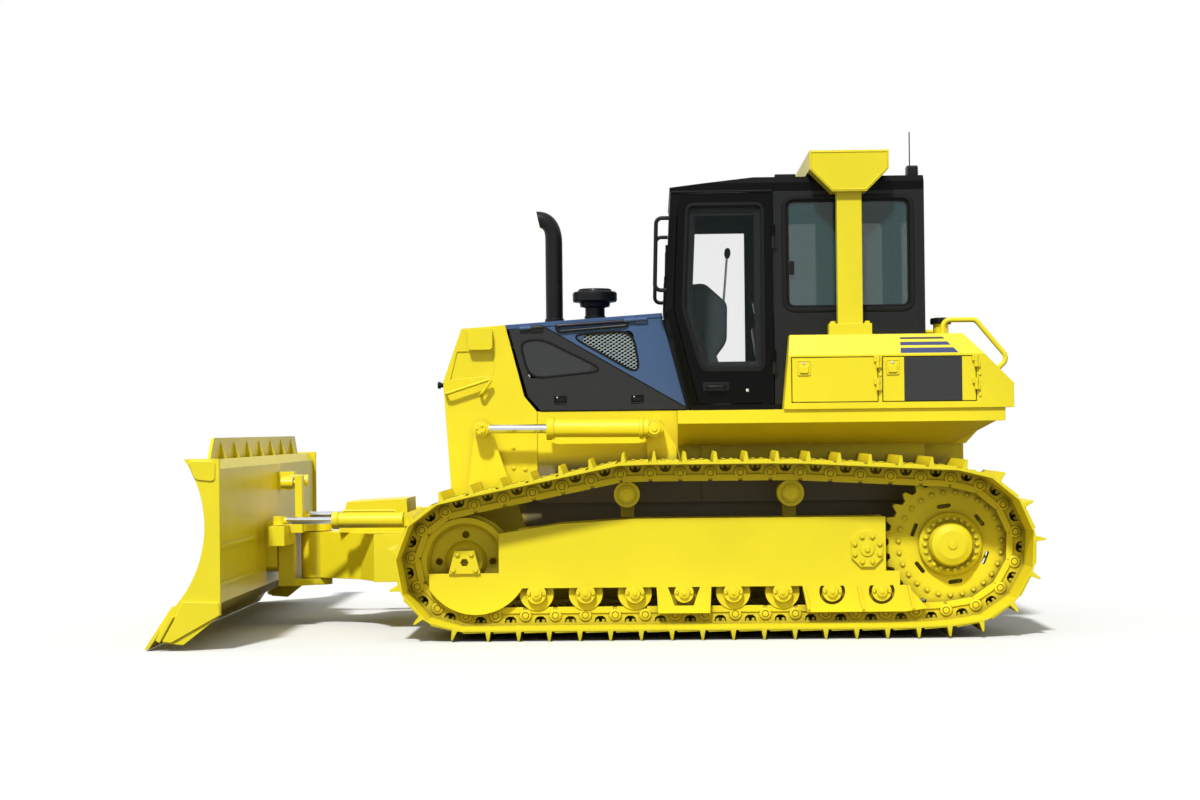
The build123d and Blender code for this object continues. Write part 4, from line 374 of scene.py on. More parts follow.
def setCamera():
    yaw, pitch, roll = (math.radians(viewpoint[key]) for key in ("yaw", "pitch", "roll"))
    ahead = Vector((math.sin(yaw) * math.cos(pitch), -math.cos(yaw) * math.cos(pitch), math.sin(pitch)))
    right = ahead.cross(Vector((0, 0, 1))).normalized()
    up = right.cross(ahead)
    turnedRight = right * math.cos(roll) + up * math.sin(roll)
    turnedUp = up * math.cos(roll) - right * math.sin(roll)
    data = bpy.data.cameras.new("photoCamera")
    data.sensor_width = 36.0
    data.lens = viewpoint["lens"]
    data.clip_end = 200.0
    camera = addObject("photoCamera", data)
    turn = Matrix((turnedRight, turnedUp, -ahead)).transposed().to_4x4()
    camera.matrix_world = Matrix.Translation(viewpoint["place"]) @ turn
    bpy.context.scene.camera = camera


studio = {"sun": 3.0, "sunFrom": (0.16, 0.62, 0.77), "sunSpread": 5.0, "sky": 0.4,
          "skyColour": (0.94, 0.97, 1.0, 1.0), "white": (1.0, 1.0, 1.0, 1.0), "rings": (0.0001, 8.0, 40.0),
          "fade": (5.5, 12.0), "pale": rgb(246, 246, 245), "bounce": rgb(124, 120, 112)}


def setLight():
    data = bpy.data.lights.new("keyLight", "SUN")
    data.energy = studio["sun"]
    data.angle = math.radians(studio["sunSpread"])
    sun = addObject("keyLight", data)
    sun.rotation_mode = "QUATERNION"
    sun.rotation_quaternion = Vector(studio["sunFrom"]).to_track_quat("Z", "Y")
    world = bpy.data.worlds.new("studioSky")
    world.use_nodes = True
    bpy.context.scene.world = world
    sky = Tree(world.node_tree)
    lit = sky.node("Background", feeds={"Color": studio["skyColour"], "Strength": studio["sky"]})
    plain = sky.node("Background", feeds={"Color": studio["white"], "Strength": 1.0})
    both = sky.node("MixShader", feeds={0: sky.shown(), 1: lit, 2: plain})
    sky.node("OutputWorld", feeds={"Surface": both})


def setFloor():
    # a flat disc of rings, pale near the machine and plain white far off
    count = 96
    turn = np.linspace(0, tau, count, endpoint=False)
    rings = np.array(studio["rings"])
    verts = np.stack([np.outer(rings, np.cos(turn)), np.outer(rings, np.sin(turn)),
                      np.zeros((len(rings), count))], -1).reshape(-1, 3)
    mesh = bpy.data.meshes.new("studioFloor")
    mesh.from_pydata(verts.tolist(), [], gridFaces(len(rings), count))
    floor = addObject("studioFloor", mesh)
    finish = Finish("paleFloor", None)
    far = finish.node("VectorMath", {"operation": "LENGTH"}, {0: finish.place}, out="Value")
    glow = finish.node("Emission", feeds={"Color": studio["white"], "Strength": 1.0})
    seen = finish.shown()
    finish.set(Base_Color=finish.mix(seen, studio["bounce"], studio["pale"]), Roughness=0.85)
    paint = Sock(finish, finish.shader.outputs[0])
    mixed = finish.node("MixShader", feeds={0: far.smooth(*studio["fade"]) * seen, 1: paint, 2: glow})
    finish.feed(finish.out.inputs["Surface"], mixed)
    mesh.materials.append(finish.mat)


# mesh making with arrays

def gridFaces(rows, cols, wrapRows=False, wrapCols=True):
    # quads over a grid of points kept row by row
    i = np.arange(rows if wrapRows else rows - 1)[:, None]
    j = np.arange(cols if wrapCols else cols - 1)[None, :]
    below, beside = (i + 1) % rows, (j + 1) % cols
    quads = np.stack([i * cols + j + 0 * below, i * cols + beside + 0 * below,
                      below * cols + beside, below * cols + j + 0 * beside], -1)
    return quads.reshape(-1, 4).tolist()


def merge(parts):
    # several (verts, faces) as one
    verts, faces, start = [], [], 0
    for points, polys in parts:
        points = np.asarray(points, float).reshape(-1, 3)
        verts.append(points)
        faces += [[index + start for index in poly] for poly in polys]
        start += len(points)
    return np.concatenate(verts), faces


def coords(mesh):
    points = np.empty(len(mesh.vertices) * 3, np.float32)
    mesh.vertices.foreach_get("co", points)
    return points.reshape(-1, 3)


def build(name, shape, finish, body="chassis", sharp=35.0):
    # one piece from (verts, faces): doubles merged, faces turned outwards, edges kept crisp
    verts, faces = shape
    mesh = bpy.data.meshes.new(name)
    mesh.from_pydata(np.asarray(verts, float).tolist(), [], faces)
    work = bmesh.new()
    work.from_mesh(mesh)
    bmesh.ops.remove_doubles(work, verts=work.verts, dist=1e-6)
    bmesh.ops.dissolve_degenerate(work, edges=work.edges, dist=1e-6)
    bmesh.ops.recalc_face_normals(work, faces=work.faces)
    work.to_mesh(mesh)
    work.free()
    mesh.shade_smooth()
    mesh.set_sharp_from_angle(angle=math.radians(sharp))
    mesh.materials.append(finishes[finish].mat)
    obj = addObject(name, mesh)
    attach(obj, body)
    return obj


def unit(vectors):
    vectors = np.asarray(vectors, float)
    return vectors / np.linalg.norm(vectors, axis=-1, keepdims=True)


def bases(normals):
    # two directions square to each normal
    normals = unit(normals)
    helper = np.where(np.abs(normals[:, 2:]) > 0.9, [[1.0, 0, 0]], [[0, 0, 1.0]])
    first = unit(np.cross(helper, normals))
    return first, np.cross(normals, first), normals


def turnedAt(points, normals, profile, sides):
    # a profile of (radius, height) turned about each normal, at each point
    points = np.asarray(points, float).reshape(-1, 3)
    normals = np.broadcast_to(np.asarray(normals, float), points.shape)
    first, second, up = bases(normals)
    profile = np.asarray(profile, float)
    turn = np.linspace(0, tau, sides, endpoint=False)
    circle = np.cos(turn)[:, None, None] * first + np.sin(turn)[:, None, None] * second
    radius, height = profile[:, 0, None, None, None], profile[:, 1, None, None, None]
    verts = points + radius * circle + height * up
    verts = np.moveaxis(verts, 2, 0)
    each = gridFaces(len(profile), sides)
    count = len(profile) * sides
    faces = [[v + k * count for v in quad] for k in range(len(points)) for quad in each]
    return verts.reshape(-1, 3), faces


def upright(x, y, z, profile, sides):
    # a profile turned about a vertical axis at station x
    return turnedAt([(x + midX, y, z)], (0, 0, 1), profile, sides)


def hexHeads(points, normals, radius, height):
    # bolt heads on a washer: a round foot, six flats and a chamfered top
    washer = [(radius * 1.5, -0.002), (radius * 1.5, height * 0.22), (0.0, height * 0.22)]
    head = [(radius, 0.0), (radius, height * 0.82), (radius * 0.84, height), (0.0, height)]
    return merge([turnedAt(points, normals, washer, 12), turnedAt(points, normals, head, 6)])


def bentPath(points, radius, steps=6, closed=False):
    # straight runs joined by parabola corners that start radius away from each point
    points = np.asarray(points, float)
    before, after = np.roll(points, 1, 0), np.roll(points, -1, 0)
    into, out = before - points, after - points
    shorter = np.minimum(np.linalg.norm(into, axis=1), np.linalg.norm(out, axis=1))
    reach = np.minimum(radius, 0.49 * shorter)[:, None]
    start, end = (points + unit(way + 1e-12) * reach for way in (into, out))
    t = np.linspace(0, 1, steps)[None, :, None]
    bends = (1 - t) ** 2 * start[:, None] + 2 * t * (1 - t) * points[:, None] + t ** 2 * end[:, None]
    if closed:
        return bends.reshape(-1, 3)
    return np.concatenate([points[:1], bends[1:-1].reshape(-1, 3), points[-1:]])


def carried(profile, path, up, closed=False):
    # a closed profile of (side, up) carried along a path, capped where the path is open
    profile, path = np.asarray(profile, float), np.asarray(path, float)
    if closed:
        ahead = np.roll(path, -1, 0) - np.roll(path, 1, 0)
    else:
        ahead = np.gradient(path, axis=0)
    ahead = unit(ahead)
    beside = unit(np.cross(np.broadcast_to(up, ahead.shape), ahead))
    above = np.cross(ahead, beside)
    verts = (path[:, None] + profile[None, :, :1] * beside[:, None] + profile[None, :, 1:] * above[:, None])
    rows, cols = len(path), len(profile)
    faces = gridFaces(rows, cols, closed, True)
    if not closed:
        faces += [list(range(cols)), list(range((rows - 1) * cols, rows * cols))]
    return verts.reshape(-1, 3), faces


def roundProfile(radius, sides=10, flat=1.0):
    turn = np.linspace(0, tau, sides, endpoint=False)
    return np.stack([np.cos(turn) * radius, np.sin(turn) * radius * flat], 1)


def sidePlane(y):
    # a side wall at Y = y: points are (station, height), outwards is away from the middle
    return np.array([(midX, y, 0), (1, 0, 0), (0, 0, 1), (0, math.copysign(1, y), 0)], float)


def endPlane(x, way):
    # a wall across the machine at station x: points are (Y, height)
    return np.array([(midX + x, 0, 0), (0, 1, 0), (0, 0, 1), (way, 0, 0)], float)


def topPlane(z):
    # a level face at height z: points are (station, Y)
    return np.array([(midX, 0, z), (1, 0, 0), (0, 1, 0), (0, 0, 1)], float)


def lift(plane, points, height=0.0):
    # flat points set on a plane, raised along its outward direction
    points = np.asarray(points, float).reshape(-1, 2)
    return plane[0] + points[:, :1] * plane[1] + points[:, 1:] * plane[2] + height * plane[3]


def inwards(outline):
    # each edge of a closed outline turned a quarter, towards the inside
    after = np.roll(outline, -1, 0)
    area = np.sum(outline[:, 0] * after[:, 1] - after[:, 0] * outline[:, 1])
    ahead = after - outline
    return np.stack([-ahead[:, 1], ahead[:, 0]], 1) * np.sign(area)


def inset(outline, by):
    # a closed outline drawn in by a distance, corner by corner
    outline = np.asarray(outline, float)
    inward = unit(inwards(outline))
    middle = unit(inward + np.roll(inward, 1, 0) + 1e-12)
    reach = by / np.maximum(0.35, np.sum(middle * inward, 1))
    return outline + middle * reach[:, None]


def roundCorners(outline, radius, steps=6):
    flat = np.column_stack([np.asarray(outline, float), np.zeros(len(outline))])
    return bentPath(flat, radius, steps, True)[:, :2]


def roundRect(x, z, wide, high, radius):
    corners = np.array([(-wide, -high), (wide, -high), (wide, high), (-wide, high)]) / 2
    return roundCorners(corners + (x, z), radius)


def slab(plane, outline, low, high, bevel=0.002):
    # a plate between two heights over a plane, its outer edge bevelled
    rings = [lift(plane, outline, low), lift(plane, outline, high - bevel),
             lift(plane, inset(outline, bevel), high)]
    count = len(outline)
    faces = gridFaces(3, count) + [list(range(count)), list(range(2 * count, 3 * count))]
    return np.concatenate(rings), faces


def rim(plane, outline, width, proud, height=0.0):
    # a rounded strip that runs round an outline on a plane
    profile = roundProfile(width / 2, 8, 2 * proud / width)
    return carried(profile, lift(plane, outline, height), plane[3], True)


def tube(points, radius, bend, sides=8):
    # a round pipe through points, its corners bent; it twists about the axis it strays along least
    path = bentPath(points, bend)
    return carried(roundProfile(radius, sides), path, np.eye(3)[np.argmin(np.ptp(path, 0))])


def ring(x, z, radius, count, start=0.0):
    # points spaced evenly round a circle
    turn = np.arange(count) * tau / count + start
    return np.stack([x + radius * np.cos(turn), z + radius * np.sin(turn)], 1)


def bolts(plane, points, radius, height, base=0.0):
    return hexHeads(lift(plane, points, base), plane[3], radius, height)


def knobs(plane, points, profile, sides=16):
    return turnedAt(lift(plane, points), plane[3], profile, sides)


def disc(radius, height, edge=0.003):
    # the profile of a flat round cap with a softened edge
    return [(0, 0), (radius, 0), (radius, height - edge), (radius - edge, height), (0, height)]


def bothSides(shape):
    # the same shape on both sides of the machine
    verts, faces = shape
    return merge([shape, (np.asarray(verts) * [1, -1, 1], [face[::-1] for face in faces])])


leftRight = (("left", 1), ("right", -1))


# engine doors: smoked window, air mesh, latches and the grab rail along the top

engineDoor = {"face": 0.538, "window": [(1.262, 1.972), (1.108, 1.988), (0.668, 1.764), (1.196, 1.712)],
              "mesh": [(0.922, 2.011), (0.481, 2.039), (0.43, 1.728)], "corner": 0.11, "wall": 0.03,
              "pitch": 0.021, "wire": 0.004, "lean": 32.0, "shortest": 0.012,
              "latches": [(0.983, 1.567), (0.453, 1.567)], "latch": (0.08, 0.054), "latchCorner": 0.012,
              "pane": (-0.016, -0.01), "seal": (0.016, 0.005),
              "lock": [(0, -0.008), (0.006, -0.008), (0.006, 0.002), (0, 0.003)],
              "rail": [(1.012, 2.076), (0.522, 2.104), (0.518, 2.074), (0.992, 2.036)], "railRadius": 0.011}


def meshWires(plane, outline, height):
    # two sets of slanted wires, each cut off where it leaves a convex outline
    pitch, radius, slant = engineDoor["pitch"], engineDoor["wire"], math.radians(engineDoor["lean"])
    inward = inwards(outline)
    parts = []
    for lean, raised in ((slant, 0.0), (-slant, radius)):
        way = np.array([math.cos(lean), math.sin(lean)])
        off = np.array([-way[1], way[0]])
        reach = outline @ off
        starts = np.arange(reach.min() + pitch / 2, reach.max(), pitch)[:, None] * off
        slope = inward @ way
        rest = np.sum(inward[None] * (outline[None] - starts[:, None]), -1)
        cross = rest / np.where(np.abs(slope) < 1e-9, 1e-9, slope)
        low = np.where(slope > 0, cross, -9.0).max(1)
        high = np.where(slope < 0, cross, 9.0).min(1)
        keep = high - low > engineDoor["shortest"]
        first = starts[keep] + low[keep, None] * way
        last = starts[keep] + high[keep, None] * way
        parts += [carried(roundProfile(radius, 5), lift(plane, [a, b], height + raised), plane[3])
                  for a, b in zip(first, last)]
    return merge(parts)


def dressEngineDoor(side, sign):
    body = "engine_door_" + side
    plane = sidePlane(engineDoor["face"] * sign)
    wall, corner = engineDoor["wall"], engineDoor["latchCorner"]
    window, mesh = (roundCorners(engineDoor[key], engineDoor["corner"], 8) for key in ("window", "mesh"))
    build("doorPane_" + side, slab(plane, inset(window, 0.001), *engineDoor["pane"]), "smoke", body)
    seals = [rim(plane, line, *engineDoor["seal"]) for line in (window, mesh)]
    build("doorSeals_" + side, merge(seals), "rubber", body)
    backs = [slab(plane, inset(line, -0.016), -wall - 0.005, -wall - 0.001) for line in (window, mesh)]
    build("doorBaffles_" + side, merge(backs), "iron", body)
    build("airMesh_" + side, meshWires(plane, mesh, -0.012), "wire", body)
    wide, high = engineDoor["latch"]
    cups, grips = [], []
    for x, z in engineDoor["latches"]:
        cup = roundRect(x, z, wide, high, corner)
        cups += [rim(plane, cup, 0.01, 0.005), slab(plane, cup, -0.011, -0.008, 0.001)]
        grip = roundRect(x, z - 0.006, wide * 0.8, high * 0.5, 0.008)
        grips.append(slab(plane, grip, -0.008, 0.004, 0.003))
    build("doorLatchCups_" + side, merge(cups), "black", body)
    build("doorLatchGrips_" + side, merge(grips), "rubber", body)
    locks = [(x + wide * 0.28, z + high * 0.3) for x, z in engineDoor["latches"]]
    build("doorLocks_" + side, knobs(plane, locks, engineDoor["lock"], 12), "chrome", body)
    loop = roundCorners(engineDoor["rail"], 0.022)
    radius = engineDoor["railRadius"]
    build("doorGrabRail_" + side, rim(plane, loop, 2 * radius, radius, radius * 0.8), "black", body)


for sideName, sign in leftRight:
    dressEngineDoor(sideName, sign)
bulkhead = {"half": 0.495, "line": [(0.06, 1.466), (0.146, 1.466), (0.304, 2.112), (0.2, 2.112)]}
build("engineBulkhead", slab(sidePlane(bulkhead["half"]), bulkhead["line"], -2 * bulkhead["half"], 0.0),
      "black")
print("engine doors dressed")


# exhaust pipe with its slanted mouth, and the intake cap beside it

exhaust = {"x": 1.042, "foot": 2.102, "bend": 2.69, "control": (1.042, 2.855), "mouth": (1.152, 2.862),
           "turn": (180.0, 78.0), "radius": 0.061, "wall": 0.007, "depth": 0.45, "collar": (2.112, 2.15),
           "sides": 32}
intake = {"x": 0.753,
          "profile": [(0, 2.105), (0.07, 2.105), (0.07, 2.15), (0.076, 2.153), (0.076, 2.166), (0.07, 2.169),
                      (0.07, 2.226), (0.104, 2.234), (0.11, 2.262), (0.15, 2.268), (0.158, 2.276),
                      (0.158, 2.33), (0.15, 2.34), (0.122, 2.346), (0.116, 2.359), (0.108, 2.362),
                      (0, 2.364)]}


def exhaustRings(parts, radius):
    # circles along a parabola, each turned from lying flat to the slant of the mouth
    part = np.asarray(parts, float)[:, None]
    start, bend, mouth = (np.array(point) for point in (
        (exhaust["x"], exhaust["bend"]), exhaust["control"], exhaust["mouth"]))
    centre = (1 - part) ** 2 * start + 2 * part * (1 - part) * bend + part ** 2 * mouth
    first, last = (math.radians(angle) for angle in exhaust["turn"])
    angle = first + (last - first) * part
    turn = np.linspace(0, tau, exhaust["sides"], endpoint=False)[None, :]
    across = np.cos(turn) * radius
    return np.stack([midX + centre[:, :1] + across * np.cos(angle), np.sin(turn) * radius + 0 * part,
                     centre[:, 1:] + across * np.sin(angle)], -1)


def dressHood():
    radius, count = exhaust["radius"], exhaust["sides"]
    foot = exhaustRings([0.0], radius) - (0, 0, exhaust["bend"] - exhaust["foot"])
    outside = exhaustRings(np.linspace(0, 1, 14), radius)
    within = exhaustRings(np.linspace(1, exhaust["depth"], 8), radius - exhaust["wall"])
    end = np.repeat(within[-1:].mean(1, keepdims=True), count, 1)
    rings = np.concatenate([foot, outside, within, end])
    low, high = exhaust["collar"]
    tall, proud = high - low, radius + 0.008
    band = [(radius, 0), (proud, 0.002), (proud, tall), (radius, tall + 0.002)]
    clamp = upright(exhaust["x"], 0, low, band, count)
    pipe = build("exhaustPipe", merge([(rings, gridFaces(len(rings), count)), clamp]), "black")
    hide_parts("exhaust_stack")
    cap = build("intakeCap", upright(intake["x"], 0, 0, intake["profile"], 40), "black")
    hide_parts("air_precleaner")


dressHood()
print("hood dressed")


# chain: pin ends, nuts inside the link eyes, straps, shoe plates and their bolt heads

chain = {"railFace": 1.156, "gauge": 1.07, "eyeFoot": 0.048, "pitch": 0.197, "near": 0.035,
         "strap": [(-0.086, -0.056), (0.086, -0.056), (0.086, -0.03), (0.052, -0.014), (-0.052, -0.014),
                   (-0.086, -0.03)], "strapThick": 0.009, "plate": (0.0885, 0.068, 0.079, 0.084),
         "plateGap": 0.003, "nut": (0.013, 0.02), "nutsAlong": (-0.021, 0.021), "nutDepth": 0.022,
         "bolt": (0.015, 0.012), "boltsAlong": (-0.012, 0.044), "boltsAside": 0.064,
         "boss": [(0, 0), (0.041, 0), (0.041, 0.007), (0.035, 0.011), (0.024, 0.011), (0.024, 0.005),
                  (0.019, 0.005), (0.019, 0.012), (0, 0.013)]}


def linkFrames():
    # each link from the six corners of its eye: the middle of the eye's foot, and its two directions
    points = coords(nodes["track_left"].data)
    onRail = points[np.abs(points[:, 1] - chain["railFace"]) < 1e-4]
    flat = np.unique(np.round(onRail[:, [0, 2]].astype(float), 5), axis=0)
    close = np.linalg.norm(flat[:, None] - flat[None], axis=-1) < chain["near"]
    label = np.arange(len(flat))
    for step in range(6):
        label = np.where(close, label[None], len(flat)).min(1)
    found, counts = np.unique(label, return_counts=True)
    eyes = np.array([flat[label == one] for one in found[counts == 6]])
    spans = np.linalg.norm(eyes[:, :, None] - eyes[:, None], axis=-1).reshape(len(eyes), -1)
    first, second = np.divmod(spans.argmax(1), 6)
    each = np.arange(len(eyes))
    foot = (eyes[each, first] + eyes[each, second]) / 2
    out = unit(foot - eyes.mean(1))
    return foot, np.stack([-out[:, 1], out[:, 0]], 1), out


def blocks(outlines, inner, outer):
    # each flat (X, Z) outline stretched between two widths, with its ends closed
    count, corners = outlines.shape[:2]
    ends = [np.insert(outlines, 1, y, axis=2) for y in (inner, outer)]
    verts = np.stack(ends, 1).reshape(-1, 3)
    each = gridFaces(2, corners) + [list(range(corners)), list(range(corners, 2 * corners))]
    return verts, [[v + 2 * corners * k for v in face] for k in range(count) for face in each]


def dressChain():
    foot, along, out = linkFrames()
    print("links found:", len(foot))
    pins = foot - out * chain["eyeFoot"] - along * chain["pitch"] / 2

    def spread(flat, y):
        return np.stack([flat[:, 0], np.full(len(flat), y), flat[:, 1]], 1)

    face = chain["railFace"]
    ends = turnedAt(spread(pins, face), (0, 1, 0), chain["boss"], 14)
    outwards = spread(out, 0.0)
    nuts = [hexHeads(spread(foot + along * shift, face - chain["nutDepth"]), -outwards, *chain["nut"])
            for shift in chain["nutsAlong"]]
    heads = []
    for shift in chain["boltsAlong"]:
        at = foot + out * (chain["plate"][2] - chain["eyeFoot"]) + along * shift
        heads += [hexHeads(spread(at, chain["gauge"] + aside), outwards, *chain["bolt"])
                  for aside in (-chain["boltsAside"], chain["boltsAside"])]
    middles = foot - out * chain["eyeFoot"]

    def onLinks(line):
        line = np.array(line)
        return middles[:, None] + line[None, :, :1] * along[:, None] + line[None, :, 1:] * out[:, None]

    # a strap along each link's rail, and a plate on each shoe, a little higher at its leading edge
    straps = blocks(onLinks(chain["strap"]), face - 0.002, face + chain["strapThick"])
    half, base, low, high = chain["plate"]
    inner, outer = (corner.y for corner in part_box("track_left"))
    shoes = onLinks([(-half, base), (half, base), (half, high), (-half, low)])
    plates = blocks(shoes, inner + chain["plateGap"], outer - chain["plateGap"])
    shapes = {"Pins": ends, "Nuts": merge(nuts), "ShoeBolts": merge(heads), "Straps": straps,
              "ShoePlates": plates}
    for part, shape in shapes.items():
        verts, faces = shape
        build("chain" + part + "_left", shape, "track")
        build("chain" + part + "_right", (verts * [1, -1, 1], faces), "track")


dressChain()
print("chain dressed")


# running gear: bolt rings on the sprockets, caps on the rollers, bolts on the bearing blocks

def middle(node):
    low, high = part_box(node)
    return (low.x + high.x) / 2 - midX, (low.z + high.z) / 2


gear = {"disc": 1.106, "hub": 1.158, "dome": 1.248, "plate": 1.212, "raised": 1.23, "toothRing": 0.338,
        "hubRing": 0.17, "rollers": 8, "rollerFront": 1.125, "rollerRear": -1.135, "rollerZ": 0.283,
        "pivot": (-1.042, 0.56), "carriers": [(0.525, 0.93), (-0.552, 0.93)], "carrierFace": 1.19,
        "bearing": [(-0.074, -0.05), (0.074, -0.05), (-0.046, 0.054), (0.046, 0.054)],
        "domeCap": [(0, -0.006), (0.03, -0.006), (0.03, 0.004), (0.016, 0.006), (0, 0.006)],
        "pivotCap": [(0, 0), (0.05, 0), (0.046, 0.008), (0.02, 0.01), (0.016, 0.02), (0, 0.02)],
        "rollerCap": [(0, 0), (0.024, 0), (0.022, 0.004), (0.013, 0.004), (0.011, 0.01), (0, 0.01)],
        "carrierCap": [(0, 0), (0.046, 0), (0.043, 0.01), (0.024, 0.014), (0, 0.014)]}


def dressGear():
    idler, sprocket = middle("idlers"), middle("sprockets")
    rollers = np.linspace(gear["rollerFront"], gear["rollerRear"], gear["rollers"])
    caps = np.stack([rollers, np.full(len(rollers), gear["rollerZ"])], 1)
    ears = np.concatenate([caps + (shift, 0) for shift in (-0.049, 0.049)])
    faces = ("disc", "hub", "dome", "plate", "raised", "carrierFace")
    web, hub, dome, plate, raised, carrier = (sidePlane(gear[key]) for key in faces)
    block = np.array(idler) + np.array(gear["bearing"])
    parts = [bolts(web, ring(*sprocket, gear["toothRing"], 27, 0.06), 0.013, 0.014),
             bolts(hub, ring(*sprocket, gear["hubRing"], 22), 0.015, 0.015),
             knobs(dome, [sprocket], gear["domeCap"]),
             bolts(raised, ring(*gear["pivot"], 0.088, 8, tau / 16), 0.014, 0.014),
             knobs(raised, [gear["pivot"]], gear["pivotCap"]),
             bolts(raised, block, 0.014, 0.014),
             bolts(plate, ears, 0.01, 0.01),
             knobs(raised, caps, gear["rollerCap"], 12),
             knobs(carrier, gear["carriers"], gear["carrierCap"], 20)]
    build("gearBolts", bothSides(merge(parts)), "track")


dressGear()
print("running gear dressed")


# side boxes: paddle latches on the left doors, screws and the filler cap

sideBox = {"face": 1.018, "latches": {"box_door_front": (-0.658, 1.752), "box_door_rear": (-1.246, 1.752)},
           "paddle": (0.084, 0.096), "screws": [(-1.164, 1.7), (-1.822, 1.7), (-1.822, 1.56)],
           "filler": (-1.62, 0.622, 2.052),
           "cap": [(0, 0), (0.069, 0), (0.072, 0.006), (0.072, 0.034), (0.066, 0.042), (0.03, 0.046),
                   (0, 0.046)],
           "lock": [(0, 0), (0.009, 0), (0.009, 0.01), (0.006, 0.012), (0, 0.012)]}


def dressBoxes():
    plane = sidePlane(sideBox["face"])
    wide, high = sideBox["paddle"]
    for body, (x, z) in sideBox["latches"].items():
        line = roundRect(x, z, wide, high, 0.014)
        grip = roundRect(x, z - high * 0.1, wide * 0.72, high * 0.56, 0.01)
        latch = [slab(plane, line, 0, 0.005), rim(plane, line, 0.008, 0.007)]
        build(body + "_latch", merge(latch), "yellow", body)
        build(body + "_paddle", slab(plane, grip, 0.004, 0.014, 0.004), "yellow", body)
        build(body + "_lock", knobs(plane, [(x, z + high * 0.34)], sideBox["lock"], 14), "chrome", body)
    build("boxScrews", bothSides(bolts(plane, sideBox["screws"], 0.008, 0.006)), "yellow")
    build("fillerCap", upright(*sideBox["filler"], sideBox["cap"], 28), "black")


dressBoxes()
print("side boxes dressed")


# cab: window seals, linings, latches, handles, gutters, roof brackets, rear lamps and wipers

cab = {"half": 0.8, "doorInner": 0.756,
       "doorWindow": [(-0.406, 1.75), (0.0126, 1.75), (0.136, 2.17), (0.102, 2.872), (-0.406, 2.872)],
       "doorCorner": 0.05, "sideWindow": (-0.98, 2.532, 0.86, 0.76), "sideCorner": 0.075,
       "rearX": -1.494, "rearWindow": (0.0, 2.48, 1.2, 0.76), "rearCorner": 0.065,
       "latch": (-0.6, 2.437), "lock": (-0.292, 1.614), "handle": (-0.02, 1.64), "eaves": 2.955,
       "gutter": (-0.47, 0.205), "screen": [(0.176, 1.88), (0.246, 2.17), (0.236, 2.42)],
       "lampBack": -1.47, "lamp": (0.62, 3.093), "roofZ": 3.057, "bracket": (-0.566, 0.7),
       "lockProfile": [(0, 0), (0.012, 0), (0.012, 0.006), (0.009, 0.009), (0, 0.009)]}


def dressCabSide(side, sign):
    wall, lining = (sidePlane(cab[key] * sign) for key in ("half", "doorInner"))
    door = "cab_door_" + side
    doorLine = roundCorners(cab["doorWindow"], cab["doorCorner"])
    sideLine = roundRect(*cab["sideWindow"], cab["sideCorner"])
    x, z = cab["handle"]
    grip = lift(wall, [(x, z), (x, z), (x - 0.12, z), (x - 0.12, z)])
    grip[1:3, 1] += sign * 0.036
    plate = slab(wall, roundRect(x - 0.06, z, 0.18, 0.06, 0.014), 0, 0.005)
    gutter = lift(wall, [(end, cab["eaves"] + 0.004) for end in cab["gutter"]], 0.004)
    x, y = cab["bracket"]
    bracket = roundRect(x, y * sign, 0.14, 0.09, 0.01)
    y, z = cab["lamp"]
    lamp = roundRect(y * sign, z, 0.13, 0.08, 0.014)
    back = endPlane(cab["lampBack"], -1)
    seals = [rim(wall, sideLine, 0.036, 0.009), rim(wall, inset(sideLine, 0.024), 0.016, 0.006, -0.01)]
    latch = roundRect(*cab["latch"], 0.03, 0.09, 0.01)
    pieces = {
        "doorWindowSeal": (rim(wall, doorLine, 0.026, 0.007), "rubber", door),
        "doorLining": (rim(lining, inset(doorLine, 0.018), 0.084, 0.012), "rubber", door),
        "sideWindowSeal": (merge(seals), "rubber"),
        "windowLatch": (slab(wall, latch, -0.012, 0.016, 0.004), "rubber"),
        "doorHandle": (merge([tube(grip, 0.009, 0.018), plate]), "black", door),
        "doorLock": (knobs(wall, [cab["lock"]], cab["lockProfile"], 16), "chrome", door),
        "doorGutter": (carried(roundProfile(0.008), gutter, (0, 0, 1)), "rubber"),
        "roofBracket": (slab(topPlane(cab["roofZ"]), bracket, -0.03, 0.02), "black"),
        "rearLamp": (slab(back, lamp, -0.07, 0.0, 0.004), "black"),
        "rearLampLens": (slab(back, inset(lamp, 0.01), -0.002, 0.004), "lens")}
    for name, piece in pieces.items():
        build(name + "_" + side, *piece)


def dressCab():
    rearLine = roundRect(*cab["rearWindow"], cab["rearCorner"])
    build("rearWindowSeal", rim(endPlane(cab["rearX"], -1), rearLine, 0.034, 0.008), "rubber")
    for side, sign in leftRight:
        dressCabSide(side, sign)
    blades = []
    (x0, z0), (x1, z1), (x2, z2) = cab["screen"]
    for y in (-0.33, 0.33):
        arm = [(x0 + midX + 0.014, y, z0), (x1 + midX + 0.018, y, z1), (x2 + midX + 0.018, y + 0.02, z2)]
        wiper = [(x1 + midX + 0.006, y - 0.01, z1 + 0.02), (x2 + midX + 0.004, y + 0.02, z2 + 0.22)]
        blades += [tube(arm, 0.006, 0.05), carried(roundProfile(0.008, 8), wiper, (0, 1, 0))]
    build("screenWipers", merge(blades), "rubber")


dressCab()
print("cab dressed")


# inside the cab: instrument hood, levers and the seat, its pads filled by a cloth run

